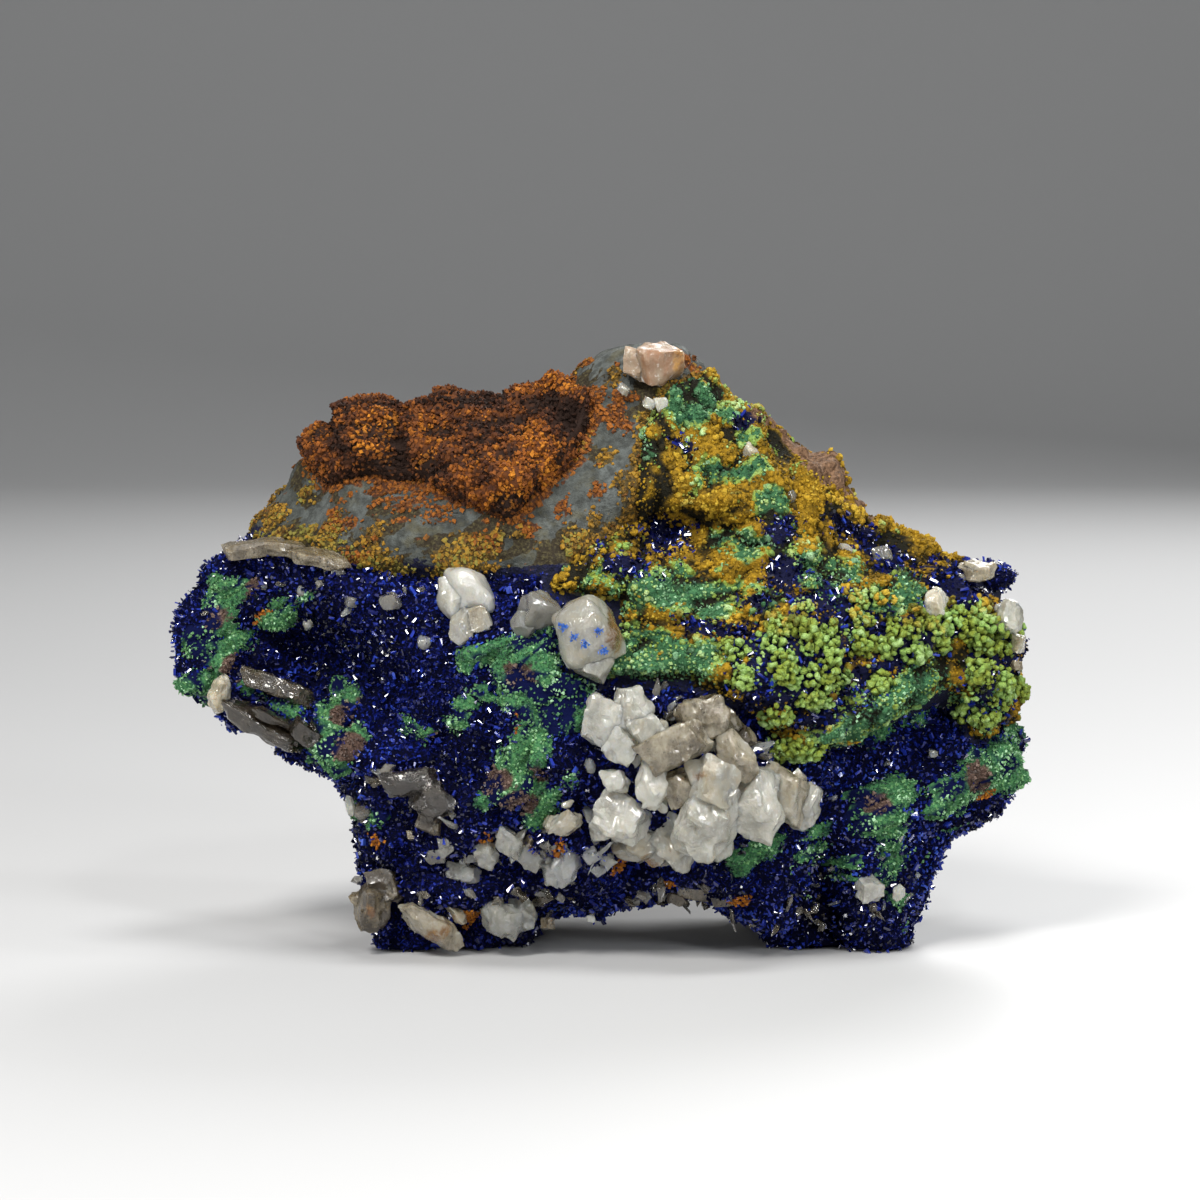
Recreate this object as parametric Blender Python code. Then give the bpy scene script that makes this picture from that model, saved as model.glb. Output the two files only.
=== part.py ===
"""Azurite specimen: azurite, malachite, limonite and calcite crystals grown over a piece of grey limestone.

The numbers are millimetres and degrees, and the meshes are made in metres.
X runs to the right across the show face, Y runs away from it, and Z runs up.
The origin lies on the resting plane, under the middle of the specimen.

The rock is a pillow: a square grid bent onto a disc makes the front, a second one makes the back, and both
share the rim. Every crust is a sheet over some of the rock's own grid cells, so it can't cut into the rock.
"""

import math

import bmesh
import bpy
import numpy as np
from mathutils import Matrix

MM = 0.001

# ---- Driving dimensions ------------------------------------------------------------------------------------
MIDDLE_UP = 30.7  # height of the point that the outline is measured round
GRID_CELLS = 22  # cells along one side of the front or back sheet
BACK_DEPTH = 21.0  # from the rim's plane to the furthest point behind
FIT_GAP = 0.35  # between a crust or crystal and what it sits on
REAR_DROP = 8.0  # how far the rear feet are drawn down to stand
SQUARE_SIDE, SQUARE_UNDER = 2.9, 5.5  # how squarely the rock turns at its rim, at the sides and below

# The outline of the rock seen from the front, as (across, up), clockwise from the left tip.
OUTLINE = (
    (-43.6, 27.5), (-42.4, 34.6), (-40.2, 37.6), (-37.6, 41.0), (-35.2, 43.0), (-32.8, 46.2), (-30.8, 50.2),
    (-27.4, 52.8), (-24.0, 54.4), (-21.6, 55.2), (-19.4, 54.0), (-17.2, 54.8), (-14.6, 56.0), (-10.1, 55.0),
    (-6.1, 55.3), (-3.0, 58.0), (0.2, 60.4), (3.0, 61.4), (8.0, 61.2), (9.8, 59.4), (13.9, 55.0), (17.0, 53.4),
    (20.0, 52.4), (23.2, 49.9), (25.6, 46.4), (28.4, 43.4), (32.2, 41.2), (34.2, 39.2), (37.4, 38.5),
    (40.4, 38.8), (41.8, 37.2), (42.2, 33.0), (42.6, 30.0), (41.6, 26.7), (42.8, 23.5), (43.4, 19.4),
    (42.4, 16.2), (39.4, 12.9), (35.4, 10.2), (32.0, 7.7), (30.4, 4.0), (28.8, 0.6), (25.6, 0.6), (21.8, 4.4),
    (20.6, 1.6), (17.6, 1.8), (13.6, 3.6), (9.9, 4.7), (5.4, 5.2), (-0.1, 4.0), (-7.1, 3.6), (-12.1, 3.4),
    (-17.1, 2.6), (-21.6, 4.0), (-23.8, 6.6), (-24.6, 9.6), (-25.2, 13.4), (-27.8, 16.5), (-31.1, 18.6),
    (-35.4, 20.9), (-39.8, 23.4), (-42.8, 25.4),
)

# How far the front face stands out at (across, up): these places are blended into one smooth face.
FACE_SPREAD = 5.5
FACE = (
    (5, 59, 6.5), (-2, 55, 9), (0, 49, 12), (-12, 52, 12), (-24, 51, 10), (-31, 46, 10), (-20, 44, 14.5),
    (-6, 44, 15.5), (8, 50, 11.5), (16, 49, 11), (24, 43, 12), (14, 42, 15.5), (5, 42, 16), (-38, 40, 8.5),
    (-28, 39, 16), (-16, 38.5, 19.5), (-5, 38, 19), (6, 37, 19), (18, 36, 19), (30, 36, 15), (39, 36, 8),
    (-40, 30, 10), (-30, 27, 14), (-17, 28, 18), (-8, 28, 20.5), (4, 27, 21), (14, 26, 21), (26, 28, 19),
    (37, 28, 12), (-22, 16, 14), (-12, 13, 18.5), (0, 12, 19.5), (10, 14, 20.5), (20, 12, 17), (29, 18, 14),
    (38, 18, 9), (-12, 7, 14.5), (-18, 6, 13), (0, 6, 13.5), (12, 7, 14.5), (19, 6, 13), (27, 6, 11.5),
)

# Lumps (+) and hollows (-) on the front: across, up, half width, half height, tilt, height.
RELIEF = {
    "left_cavity": (-28.0, 29.0, 8.6, 5.2, -18, -9.5),
    "cavity_shelf": (-30.2, 23.6, 7.0, 1.9, -26, 3.5),
    "left_rim": (-39.6, 31.0, 2.8, 6.0, 8, 1.6),
    "cavity_corner": (-25.0, 21.6, 3.0, 2.6, 20, 2.4),
    "green_rib": (-6.1, 25.6, 4.4, 9.5, 6, 1.7),
    "rust_mass": (-10.8, 49.6, 8.4, 5.4, -10, 4.4),
    "rust_lump_right": (-22.6, 51.8, 3.0, 3.6, -12, 4.4),
    "rust_lump_left": (-27.6, 51.0, 2.8, 2.6, 20, 3.0),
    "slab_under_rust": (-22.0, 42.6, 9.0, 3.0, -6, 1.8),
    "under_slab": (-18.5, 38.0, 7.0, 1.1, -4, -2.6),
    "grey_flank": (1.5, 48.6, 4.4, 7.2, -34, 1.4),
    "ochre_pocket": (7.6, 42.4, 5.0, 2.1, -6, -6.0),
    "ochre_brow": (9.2, 46.6, 5.4, 1.9, -14, 2.2),
    "top_pocket": (19.0, 50.0, 2.4, 1.3, -20, -3.4),
    "right_notch": (25.6, 40.6, 4.2, 1.4, -24, -3.4),
    "ball_bench": (19.6, 31.0, 6.4, 4.6, 0, 3.0),
    "ball_spur": (31.4, 32.4, 4.6, 2.4, 18, 2.6),
    "bench_undercut": (14.0, 23.6, 8.0, 1.6, -8, -3.0),
    "green_ledge": (28.4, 26.4, 7.4, 1.5, 25, 4.6),
    "ledge_hollow": (32.4, 22.8, 6.6, 1.9, 25, -6.0),
    "right_mound": (38.6, 27.6, 2.8, 6.0, 0, 2.4),
    "green_mound": (28.4, 14.8, 3.3, 3.1, 0, 2.8),
    "corner_mound": (39.2, 16.6, 3.6, 3.2, 30, 2.0),
    "cleft": (22.4, 5.4, 1.5, 6.0, 4, -5.0),
    "lump_beside_cleft": (18.0, 7.0, 4.0, 4.8, 10, 2.2),
    "foot_lump": (27.2, 5.4, 3.3, 4.6, 0, 3.2),
    "calcite_seat": (9.6, 20.0, 8.0, 5.4, -25, 1.6),
    "low_hollow": (4.0, 10.6, 5.0, 1.8, 8, -2.2),
    "lower_left_shoulder": (-20.0, 17.6, 4.6, 3.6, -30, 1.8),
}

# Broken faces of the back and sides: the direction each one faces, and how far it lies from the middle.
BREAKS = (
    ((0.10, 1.0, 0.16), 19.5), ((-0.60, 0.78, 0.18), 24.5), ((0.66, 0.74, 0.10), 26.0),
    ((-0.05, 0.62, 0.78), 26.0), ((0.44, 0.46, 0.77), 28.0), ((-0.46, 0.40, 0.79), 27.5),
    ((-0.70, 0.42, -0.58), 33.0), ((0.74, 0.36, -0.56), 35.0), ((-0.93, 0.36, 0.05), 35.5),
    ((0.92, 0.38, 0.06), 37.0), ((0.05, 0.80, -0.60), 29.0),
)

# Where each crust grew, as closed outlines of (across, up) on the front face.
RUST_OUTLINE = (
    (-31.5, 51.0), (-27.5, 54.5), (-22.5, 57.0), (-17.5, 55.5), (-13.0, 58.0), (-6.0, 57.0), (0.0, 55.6),
    (-0.6, 52.6), (-3.2, 48.6), (-8.8, 43.8), (-15.0, 46.2), (-21.0, 47.0), (-23.0, 48.6), (-27.5, 47.2),
)
GREEN_OUTLINE = (
    (4.2, 52.0), (7.0, 57.4), (11.0, 58.0), (17.0, 55.0), (24.0, 51.0), (30.0, 44.0), (35.0, 39.6),
    (37.6, 36.6), (43.2, 33.4), (43.6, 24.0), (38.2, 21.6), (34.6, 26.0), (26.0, 22.2), (17.4, 20.8),
    (16.4, 24.6), (8.8, 28.2), (0.0, 28.4), (-3.4, 29.6), (1.8, 33.2), (2.4, 36.4), (-5.0, 37.8),
    (-1.0, 42.2), (3.4, 43.6),
)
PATCH_FACETS = 10  # corners round a malachite patch
PATCH_RINGS = (0.45, 0.8, 1.0)
PATCH_EDGE, PATCH_ROOT = 0.5, 0.8  # a patch's height at its edge, and how deep it starts before it is trimmed
MALACHITE_PATCHES = {  # across, up, half width, half height, tilt
    "malachite_left_rim": (-37.6, 33.2, 3.9, 4.6, 14),
    "malachite_cavity_corner": (-23.6, 21.8, 3.3, 2.9, 24),
    "malachite_middle": (-6.2, 24.6, 4.6, 7.7, 8),
    "malachite_mound": (27.8, 14.6, 3.3, 3.4, 0),
    "malachite_corner": (36.0, 17.8, 3.8, 3.2, 30),
}
RUST_THICKNESS = 2.6
GREEN_THICKNESS = 1.9
PATCH_THICKNESS = 1.3
AZURITE_THICKNESS = 1.6
AZURITE_TOP = ((-44, 40.6), (-34, 41.4), (-26, 39.6), (-15, 38.2), (-5, 38.8), (1, 39.6), (20, 38), (44, 40))
AZURITE_BACK_REACH = 5.0  # how far round behind the rim the azurite runs
CRUST_EDGE = 0.6  # how thick a crust is at its border
CRUST_ALLOWANCE = 1.3  # how far the rock's rim lies inside the outline, to leave room for the crusts
RIM_MARGIN = 0.95  # the outermost place on the face where anything stands, as a part of the rim's reach
SEAT_DEPTH = 2.2  # from the rock to what stands on its crusts
BALL_RADIUS = {"rust": 2.5, "green": 2.1}
BALL_SINK = 0.35  # how far a ball's middle lies below the crust's face, as a part of its radius
BALL_ROOT = 0.6  # the deepest that a ball reaches into its crust
BLADE_LENGTH, BLADE_WIDTH, BLADE_ROOT = 3.8, 2.0, 0.9  # the largest azurite blades
STANDING_ROOM = 1.8  # from a ball's or blade's root to the nearest crystal
LOWEST_CRUST, LOWEST_BLADE = 2.4, 6.0  # the least height of the rock under a crust, and of a blade's root
CRUST_CLEARANCE = 0.5  # the lowest that a crust may hang

# Calcite and quartz, one solid for each group that grew together. Each crystal: across, up, how far its
# middle stands out of the crust, width, height, thickness, tilt to the right, and its habit.
CRYSTALS = {
    "calcite_upper": (
        (-12.7, 37.2, 0.9, 5.6, 4.8, 4.2, 14, "prism"), (-14.6, 36.6, 0.5, 3.4, 4.2, 3.0, -24, "block"),
        (-13.7, 33.6, 0.4, 1.8, 3.0, 2.0, 8, "prism"), (-12.0, 33.9, 0.5, 2.2, 2.8, 2.2, -16, "block"),
        (-10.6, 36.4, 0.2, 3.0, 3.2, 2.6, 30, "block"),
    ),
    "calcite_round": (
        (-1.2, 33.6, 2.0, 6.6, 7.2, 6.2, 6, "lump"), (-0.6, 30.4, 1.0, 3.2, 3.0, 3.0, 18, "block"),
        (-2.4, 31.4, 0.8, 2.6, 3.0, 2.4, -20, "block"),
    ),
    "calcite_grey": (
        (-5.9, 35.4, 0.5, 3.8, 3.2, 3.0, 24, "block"), (-7.4, 34.2, 0.3, 2.4, 2.8, 2.2, -12, "prism"),
    ),
    "calcite_cluster": (
        (0.4, 24.6, 1.2, 3.6, 4.4, 3.4, 18, "block"), (3.2, 25.4, 1.6, 4.0, 5.2, 3.4, -14, "prism"),
        (4.6, 23.8, 1.4, 3.0, 4.4, 3.0, -30, "block"), (2.0, 22.6, 1.0, 3.4, 3.0, 3.0, 40, "block"),
        (5.2, 19.2, 1.4, 2.7, 5.4, 2.8, 4, "prism"), (7.4, 22.6, 1.2, 6.2, 3.6, 3.6, -32, "block"),
        (10.2, 25.0, 0.9, 4.6, 4.2, 3.6, -20, "block"), (13.4, 21.4, 1.2, 3.2, 5.4, 3.2, -36, "prism"),
        (11.2, 19.0, 1.8, 4.2, 4.6, 3.6, 16, "block"), (10.5, 15.4, 2.9, 5.6, 7.8, 4.8, 28, "prism"),
        (15.2, 16.8, 2.3, 4.6, 7.0, 4.2, -10, "prism"), (18.2, 17.2, 1.4, 3.6, 5.0, 3.4, 12, "block"),
        (20.2, 15.8, 1.4, 3.2, 4.4, 3.0, 22, "prism"), (7.6, 12.6, 1.8, 4.0, 4.0, 3.6, 34, "block"),
        (8.2, 18.4, 0.8, 3.0, 3.4, 3.0, -26, "block"), (5.4, 11.8, 1.2, 3.4, 3.0, 3.2, 20, "block"),
        (2.0, 15.2, 1.5, 5.0, 4.2, 3.4, 30, "block"), (3.6, 12.2, 1.5, 4.8, 3.2, 3.4, -12, "prism"),
        (0.4, 14.5, 0.8, 2.6, 3.4, 2.6, 36, "prism"),
    ),
    "calcite_blade": (
        (-3.2, 14.5, 1.0, 1.8, 4.8, 2.6, 52, "blade"), (-4.6, 14.4, 0.5, 1.4, 2.8, 2.0, 30, "blade"),
    ),
    "calcite_small_block": ((1.5, 18.9, 0.9, 2.2, 2.2, 2.4, -8, "block"),),
    "calcite_clear": (
        (-3.3, 10.1, 0.9, 2.6, 4.8, 2.6, 14, "prism"), (-4.8, 9.2, 0.5, 1.8, 3.0, 2.0, -12, "prism"),
    ),
    "calcite_glassy_low": (
        (-8.8, 12.2, 0.8, 3.0, 2.6, 2.4, 20, "block"), (-11.2, 11.0, 0.6, 2.4, 3.2, 2.2, -14, "prism"),
        (-6.6, 10.6, 0.6, 2.6, 2.4, 2.2, 40, "block"),
    ),
    "calcite_brown_ledge": (
        (-18.6, 18.2, 0.8, 5.4, 2.6, 3.2, -10, "block"), (-16.6, 16.4, 0.8, 3.6, 3.4, 3.0, 26, "block"),
    ),
    "cavity_shelf_calcite": (
        (-33.2, 25.6, 0.8, 6.2, 3.2, 5.2, 24, "block"), (-30.6, 24.0, 0.8, 5.2, 3.2, 5.2, 30, "block"),
    ),
    "cream_crystal_left": ((-38.3, 25.8, 0.8, 2.2, 4.0, 2.8, 8, "prism"),),
    "quartz_slab_left": (
        (-34.6, 40.6, 0.6, 6.8, 2.2, 4.6, -8, "block"), (-27.8, 40.4, 0.6, 6.6, 2.4, 4.8, 6, "block"),
        (-31.2, 40.6, 0.6, 6.0, 2.0, 6.0, 0, "block"),
    ),
    "peak_crystal": (
        (5.8, 59.2, 0.0, 5.0, 3.6, 4.4, -6, "block"), (3.8, 59.0, 0.0, 2.4, 3.0, 4.2, 12, "block"),
    ),
    "calcite_right_small": ((33.5, 35.4, 1.2, 2.1, 3.4, 2.4, 4, "prism"),),
    "calcite_right_corner": ((41.2, 33.6, 1.6, 2.8, 3.6, 3.4, -12, "prism"),),
    "calcite_right_top": ((38.2, 38.3, 0.5, 3.2, 1.8, 2.6, 4, "block"),),
    "lump_crystal": ((26.8, 7.0, 0.9, 2.6, 2.3, 2.4, 10, "block"),),
    "brown_foot": (
        (-22.8, 5.0, 0.6, 3.4, 4.8, 3.6, 12, "block"), (-21.6, 7.0, 0.6, 3.0, 3.4, 3.0, -18, "block"),
    ),
    "cream_foot": (
        (-16.9, 3.4, 1.2, 3.2, 6.8, 4.2, -56, "prism"), (-15.0, 4.9, 0.5, 1.8, 5.2, 3.8, -34, "blade"),
    ),
    "clear_foot": (
        (-9.6, 3.9, 1.2, 3.4, 5.0, 3.6, -58, "prism"), (-7.6, 4.4, 0.6, 2.4, 3.2, 2.6, -20, "prism"),
    ),
}

STAINED = ("peak_crystal", "brown_foot", "cavity_shelf_calcite", "calcite_brown_ledge")


# ---- Repeatable noise --------------------------------------------------------------------------------------
def lattice_value(cell, seed):
    """One repeatable number from 0 to 1 for each whole-numbered cell of space."""
    c = np.asarray(cell, np.int64)
    mixed = c[..., 0] * 73856093 ^ c[..., 1] * 19349663 ^ c[..., 2] * 83492791 ^ seed * 265443576
    mixed = mixed & 0xFFFFFFFF
    mixed = ((mixed ^ (mixed >> 15)) * 739982445) & 0xFFFFFFFF
    mixed = ((mixed ^ (mixed >> 13)) * 695872825) & 0xFFFFFFFF
    return (mixed ^ (mixed >> 16)) / 0xFFFFFFFF


def smooth_noise(points, size, seed):
    """Value noise from -1 to 1: lattice numbers a step of size apart, blended with a smooth step."""
    scaled = np.asarray(points, float) / size
    cell = np.floor(scaled)
    part = scaled - cell
    part = part * part * (3 - 2 * part)
    total = np.zeros(len(scaled))
    for corner in np.ndindex(2, 2, 2):
        weight = np.prod(np.where(corner, part, 1 - part), axis=1)
        total += weight * lattice_value(cell + corner, seed)
    return 2 * total - 1


def rough_noise(points, size, octaves, seed):
    """Fractal noise: each octave has half the size and half the height of the last."""
    return sum(smooth_noise(points, size / 2**k, seed + k) / 2**k for k in range(octaves))


# ---- Plane geometry ----------------------------------------------------------------------------------------
def smooth_step(low, high, value):
    """0 below low, 1 above high, and a smooth ramp between."""
    t = np.clip((value - low) / (high - low), 0, 1)
    return t * t * (3 - 2 * t)


def mound(across, up, shape):
    """A Gaussian hump of height 1 over a tilted ellipse: shape is across, up, half width, half height, tilt."""
    turn = math.radians(shape[4])
    dx, dz = across - shape[0], up - shape[1]
    along = (dx * math.cos(turn) + dz * math.sin(turn)) / shape[2]
    over = (dz * math.cos(turn) - dx * math.sin(turn)) / shape[3]
    return np.exp(-(along**2 + over**2))


def inside_ellipse(across, up, shape):
    """About the distance inside a tilted ellipse, in millimetres: positive within, negative outside."""
    return (1 - np.sqrt(-np.log(np.maximum(mound(across, up, shape), 1e-30)))) * min(shape[2], shape[3])


def inside_outline(across, up, outline):
    """Distance inside a closed outline, positive within, from the nearest edge and a crossing count."""
    nearest = np.full(len(across), 1e9)
    crossings = np.zeros(len(across), int)
    for (ax, az), (bx, bz) in zip(outline, outline[1:] + outline[:1]):
        ex, ez = bx - ax, bz - az
        t = np.clip(((across - ax) * ex + (up - az) * ez) / (ex * ex + ez * ez), 0, 1)
        nearest = np.minimum(nearest, np.hypot(across - ax - t * ex, up - az - t * ez))
        if az != bz:
            spans = (az > up) != (bz > up)
            crossings += spans & (across < ax + (up - az) / (bz - az) * ex)
    return np.where(crossings % 2 == 1, nearest, -nearest)


# ---- The rock's form ---------------------------------------------------------------------------------------
def pillow_grid(cells):
    """The pillow's grid: for each vertex its bearing in the front view and its polar angle from the front
    middle (0) over the rim (a right angle) to the back middle (pi), and the quads that join them."""
    line = np.linspace(-1, 1, cells + 1)
    a, b = (m.ravel() for m in np.meshgrid(line, line, indexing="ij"))
    ring = np.maximum(abs(a), abs(b))
    wide = abs(a) >= abs(b)
    signed = np.where(wide, a, b)
    safe = np.where(ring > 0, signed, 1)
    bearing = np.where(wide, math.pi / 4 * b / safe, math.pi / 2 - math.pi / 4 * a / safe)
    bearing = np.where(signed < 0, bearing + math.pi, bearing)
    index = np.arange((cells + 1) ** 2).reshape(cells + 1, cells + 1)
    rim = ring == 1
    behind = np.where(rim, index.ravel(), len(ring) + np.cumsum(~rim) - 1).reshape(index.shape)

    def cells_of(grid):
        return np.stack([grid[:-1, :-1], grid[1:, :-1], grid[1:, 1:], grid[:-1, 1:]], axis=-1).reshape(-1, 4)

    polar = ring * math.pi / 2
    bearing = np.concatenate([bearing, bearing[~rim]])
    polar = np.concatenate([polar, math.pi - polar[~rim]])
    return bearing, polar, np.concatenate([cells_of(index), cells_of(behind)[:, ::-1]])


def outline_reach(bearing, smoothing):
    """How far the outline lies from the middle at each bearing, averaged over smoothing degrees."""
    across, up = np.array(OUTLINE).T
    angle = np.arctan2(up - MIDDLE_UP, across)
    order = np.argsort(angle)
    steps = np.radians(np.arange(-180, 180, 0.5))
    reach = np.interp(steps, angle[order], np.hypot(across, up - MIDDLE_UP)[order], period=2 * math.pi)
    if smoothing:
        window = np.hanning(int(4 * smoothing) + 1)
        ringed = np.concatenate([reach[-len(window):], reach, reach[: len(window)]])
        reach = np.convolve(ringed, window / window.sum(), "same")[len(window) : -len(window)]
    return np.interp(bearing, steps, reach, period=2 * math.pi)


def drawn_reach(bearing, inward):
    """The outline's reach, smooth over most of the face and in full detail only close to the rim."""
    soft = outline_reach(bearing, 14)
    return soft + (outline_reach(bearing, 0) - soft) * smooth_step(0.78, 0.97, inward) - CRUST_ALLOWANCE


def face_depth(across, up):
    """How far the front stands out: the FACE places blended by nearness, plus every lump and hollow."""
    total, weights = np.zeros(len(across)), np.zeros(len(across))
    for x, z, depth in FACE:
        weight = np.exp(-((across - x) ** 2 + (up - z) ** 2) / (2 * FACE_SPREAD**2)) + 1e-9
        total += weight * depth
        weights += weight
    depth = total / weights
    for *shape, height in RELIEF.values():
        depth += height * mound(across, up, shape)
    return depth


def outward(bearing, polar):
    """The way a crust thickens: the normal of an ellipsoid about as wide, deep and tall as the rock."""
    flat = np.sin(polar) ** 2
    way = np.stack([flat * np.cos(bearing) / 44, -np.cos(polar) / 20, flat * np.sin(bearing) / 30], axis=1)
    return way / np.linalg.norm(way, axis=1, keepdims=True)


def squared_turn(polar, squareness):
    """A superellipse's radial and axial reach at a polar angle: a squareness of 2 is a circle, and more
    makes a box with rounded corners."""
    radial, axial = np.sin(polar), np.abs(np.cos(polar))
    size = (radial**squareness + axial**squareness) ** (-1 / squareness)
    return radial * size, axial * size


def rock_form(bearing, polar):
    """The rock's surface: the outline drawn in towards the middle as the depth rises, in front to the face
    and behind to the broken rear, round a turn that is squarest underneath. Breaks and noise follow."""
    front = np.cos(polar) >= 0
    underside = smooth_step(-0.30, -0.80, np.sin(bearing))
    inward, arch = squared_turn(polar, SQUARE_SIDE + (SQUARE_UNDER - SQUARE_SIDE) * underside)
    reach = drawn_reach(bearing, inward)
    across = reach * inward * np.cos(bearing)
    up = MIDDLE_UP + reach * inward * np.sin(bearing)
    depth = np.where(front, -arch * face_depth(across, up), arch * BACK_DEPTH)
    points = settled(np.stack([across, depth, up], axis=1))
    points = broken(points)
    points += outward(bearing, polar) * unevenness(points)[:, None]
    points[:, 2] = np.maximum(points[:, 2], 0)
    return points


def settled(points):
    """Draws the underside down to the resting plane along two rails, with a low arch between them."""
    across, depth, up = points.T
    rail = smooth_step(-5.0, -9.0, across) * smooth_step(-25.0, -20.0, across)
    rail += smooth_step(15.0, 19.0, across) * smooth_step(34.0, 30.0, across)
    low = smooth_step(18.0, 5.0, up) * smooth_step(-11.0, -6.0, depth)
    lowered = points.copy()
    lowered[:, 2] -= low * REAR_DROP * rail
    return lowered


def broken(points):
    """Presses the rear half onto the flat BREAKS, each a plane that faces one way, some way off the middle."""
    behind = smooth_step(-3.0, 4.0, points[:, 1])
    for facing, distance in BREAKS:
        facing = np.array(facing) / np.linalg.norm(facing)
        beyond = np.maximum((points - [0, 0, MIDDLE_UP]) @ facing - distance, 0)
        points = points - (beyond * behind * 0.92)[:, None] * facing
    return points


def unevenness(points):
    """Unevenness all over the rock, with ledges on the broken back."""
    back = smooth_step(1.0, 7.0, points[:, 1])
    ledges = np.abs(smooth_noise(points * [1.0, 1.0, 1.8], 12.0, seed=23))
    return 0.9 * rough_noise(points, 9.0, 3, seed=11) + back * (2.4 * ledges - 0.8)


def polar_at(across, up):
    """The bearing and polar angle of the front face at places across and up, by repeated halving. A place
    at the rim or past it gives the face just inside the rim."""
    bearing = np.arctan2(up - MIDDLE_UP, across)
    rim = drawn_reach(bearing, np.ones_like(bearing))
    away = np.minimum(np.hypot(across, up - MIDDLE_UP), RIM_MARGIN * rim)
    underside = smooth_step(-0.30, -0.80, np.sin(bearing))
    squareness = SQUARE_SIDE + (SQUARE_UNDER - SQUARE_SIDE) * underside
    low, high = np.zeros_like(away), np.full_like(away, math.pi / 2)
    for _ in range(30):
        middle = (low + high) / 2
        inward, _arch = squared_turn(middle, squareness)
        beyond = drawn_reach(bearing, inward) * inward > away
        low, high = np.where(beyond, low, middle), np.where(beyond, middle, high)
    return bearing, (low + high) / 2


# ---- Crusts ------------------------------------------------------------------------------------------------
def crust_areas(points, polar):
    """For each named crust, how far inside its area each point lies, in millimetres, on the rock's front."""
    across, up = points[:, 0], points[:, 2]
    wander = 0.9 * rough_noise(points, 6.0, 2, seed=41)
    behind = np.maximum(points[:, 1], 0) * (polar > math.pi / 2)
    rust = inside_outline(across, up, RUST_OUTLINE) - behind + wander
    green = inside_outline(across, up, GREEN_OUTLINE) - behind + wander
    top = np.interp(across, *np.array(AZURITE_TOP, float).T)
    azurite = np.minimum(top - up, AZURITE_BACK_REACH - points[:, 1]) + wander
    azurite = np.minimum(azurite, up - 3.2)
    return {"rust": rust, "green": np.minimum(green, -rust - 0.6), "azurite": np.minimum(azurite, -green - 0.6)}


def solid_object(name, points, faces, material):
    """Makes a mesh object from points in millimetres, and puts it in the scene."""
    mesh = bpy.data.meshes.new(name)
    mesh.from_pydata((np.asarray(points) * MM).tolist(), [], np.asarray(faces).tolist())
    mesh.materials.append(material)
    mesh.update()
    made = bpy.data.objects.new(name, mesh)
    bpy.context.scene.collection.objects.link(made)
    return made


def triangles(quads):
    """Each quad as two triangles, split the same way on the rock and on every crust."""
    return np.concatenate([quads[:, [0, 1, 2]], quads[:, [0, 2, 3]]])


def largest_patch(quads):
    """The largest set of quads that are joined edge to edge, less any that only touch it at a corner."""
    label = np.arange(quads.max() + 1)
    while True:
        lowest = label[quads].min(axis=1)
        spread = label.copy()
        np.minimum.at(spread, quads.ravel(), np.repeat(lowest, 4))
        if (spread == label).all():
            break
        label = spread
    names, counts = np.unique(label[quads[:, 0]], return_counts=True)
    return quads[label[quads[:, 0]] == names[counts.argmax()]]


def border_edges(quads):
    """The directed edges that only one quad has."""
    edges = np.concatenate([quads[:, [k, (k + 1) % 4]] for k in range(4)])
    present = set(map(tuple, edges.tolist()))
    return np.array([edge for edge in edges.tolist() if (edge[1], edge[0]) not in present])


def unpinched(quads):
    """Drops quads until no border corner is met twice, so that the crust's wall never touches itself."""
    while True:
        starts, counts = np.unique(border_edges(quads)[:, 0], return_counts=True)
        pinches = starts[counts > 1]
        if not len(pinches):
            return quads
        quads = quads[~np.isin(quads, pinches).any(axis=1)]
        quads = largest_patch(quads)


def evened(covered, quads):
    """Rounds a set of quads off: each joins or leaves with the greater part of itself and its neighbours."""
    owners = {}
    for k, quad in enumerate(quads.tolist()):
        for a, b in zip(quad, quad[1:] + quad[:1]):
            owners.setdefault((min(a, b), max(a, b)), []).append(k)
    pairs = np.array([pair for pair in owners.values() if len(pair) == 2])
    for _ in range(2):
        votes = covered.astype(int)
        np.add.at(votes, pairs[:, 0], covered[pairs[:, 1]])
        np.add.at(votes, pairs[:, 1], covered[pairs[:, 0]])
        covered = votes >= 3
    return covered


def wall_between(start, end, more):
    """The triangles of a wall that stands on border edges, from each corner to the one numbered more on."""
    first = np.stack([start, end, end + more], axis=1)
    return np.concatenate([first, np.stack([start, end + more, start + more], axis=1)])


def crust(name, quads, points, ways, depth, material):
    """A closed sheet over some of the rock's quads: an inner face a gap off the rock, an outer face its own
    depth further out, and a wall round the border."""
    border = border_edges(quads)
    used = np.unique(quads)
    slot = np.full(quads.max() + 1, -1)
    slot[used] = np.arange(len(used))
    inner = points[used] + ways[used] * FIT_GAP
    outer = inner + ways[used] * depth[used, None]
    outer[:, 2] = np.maximum(outer[:, 2], CRUST_CLEARANCE)
    tris = slot[triangles(quads)]
    start, end = slot[border[:, 0]], slot[border[:, 1]]
    more = len(used)
    faces = np.concatenate([tris + more, tris[:, ::-1], wall_between(start, end, more)])
    return solid_object(name, np.concatenate([inner, outer]), faces, material)


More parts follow.
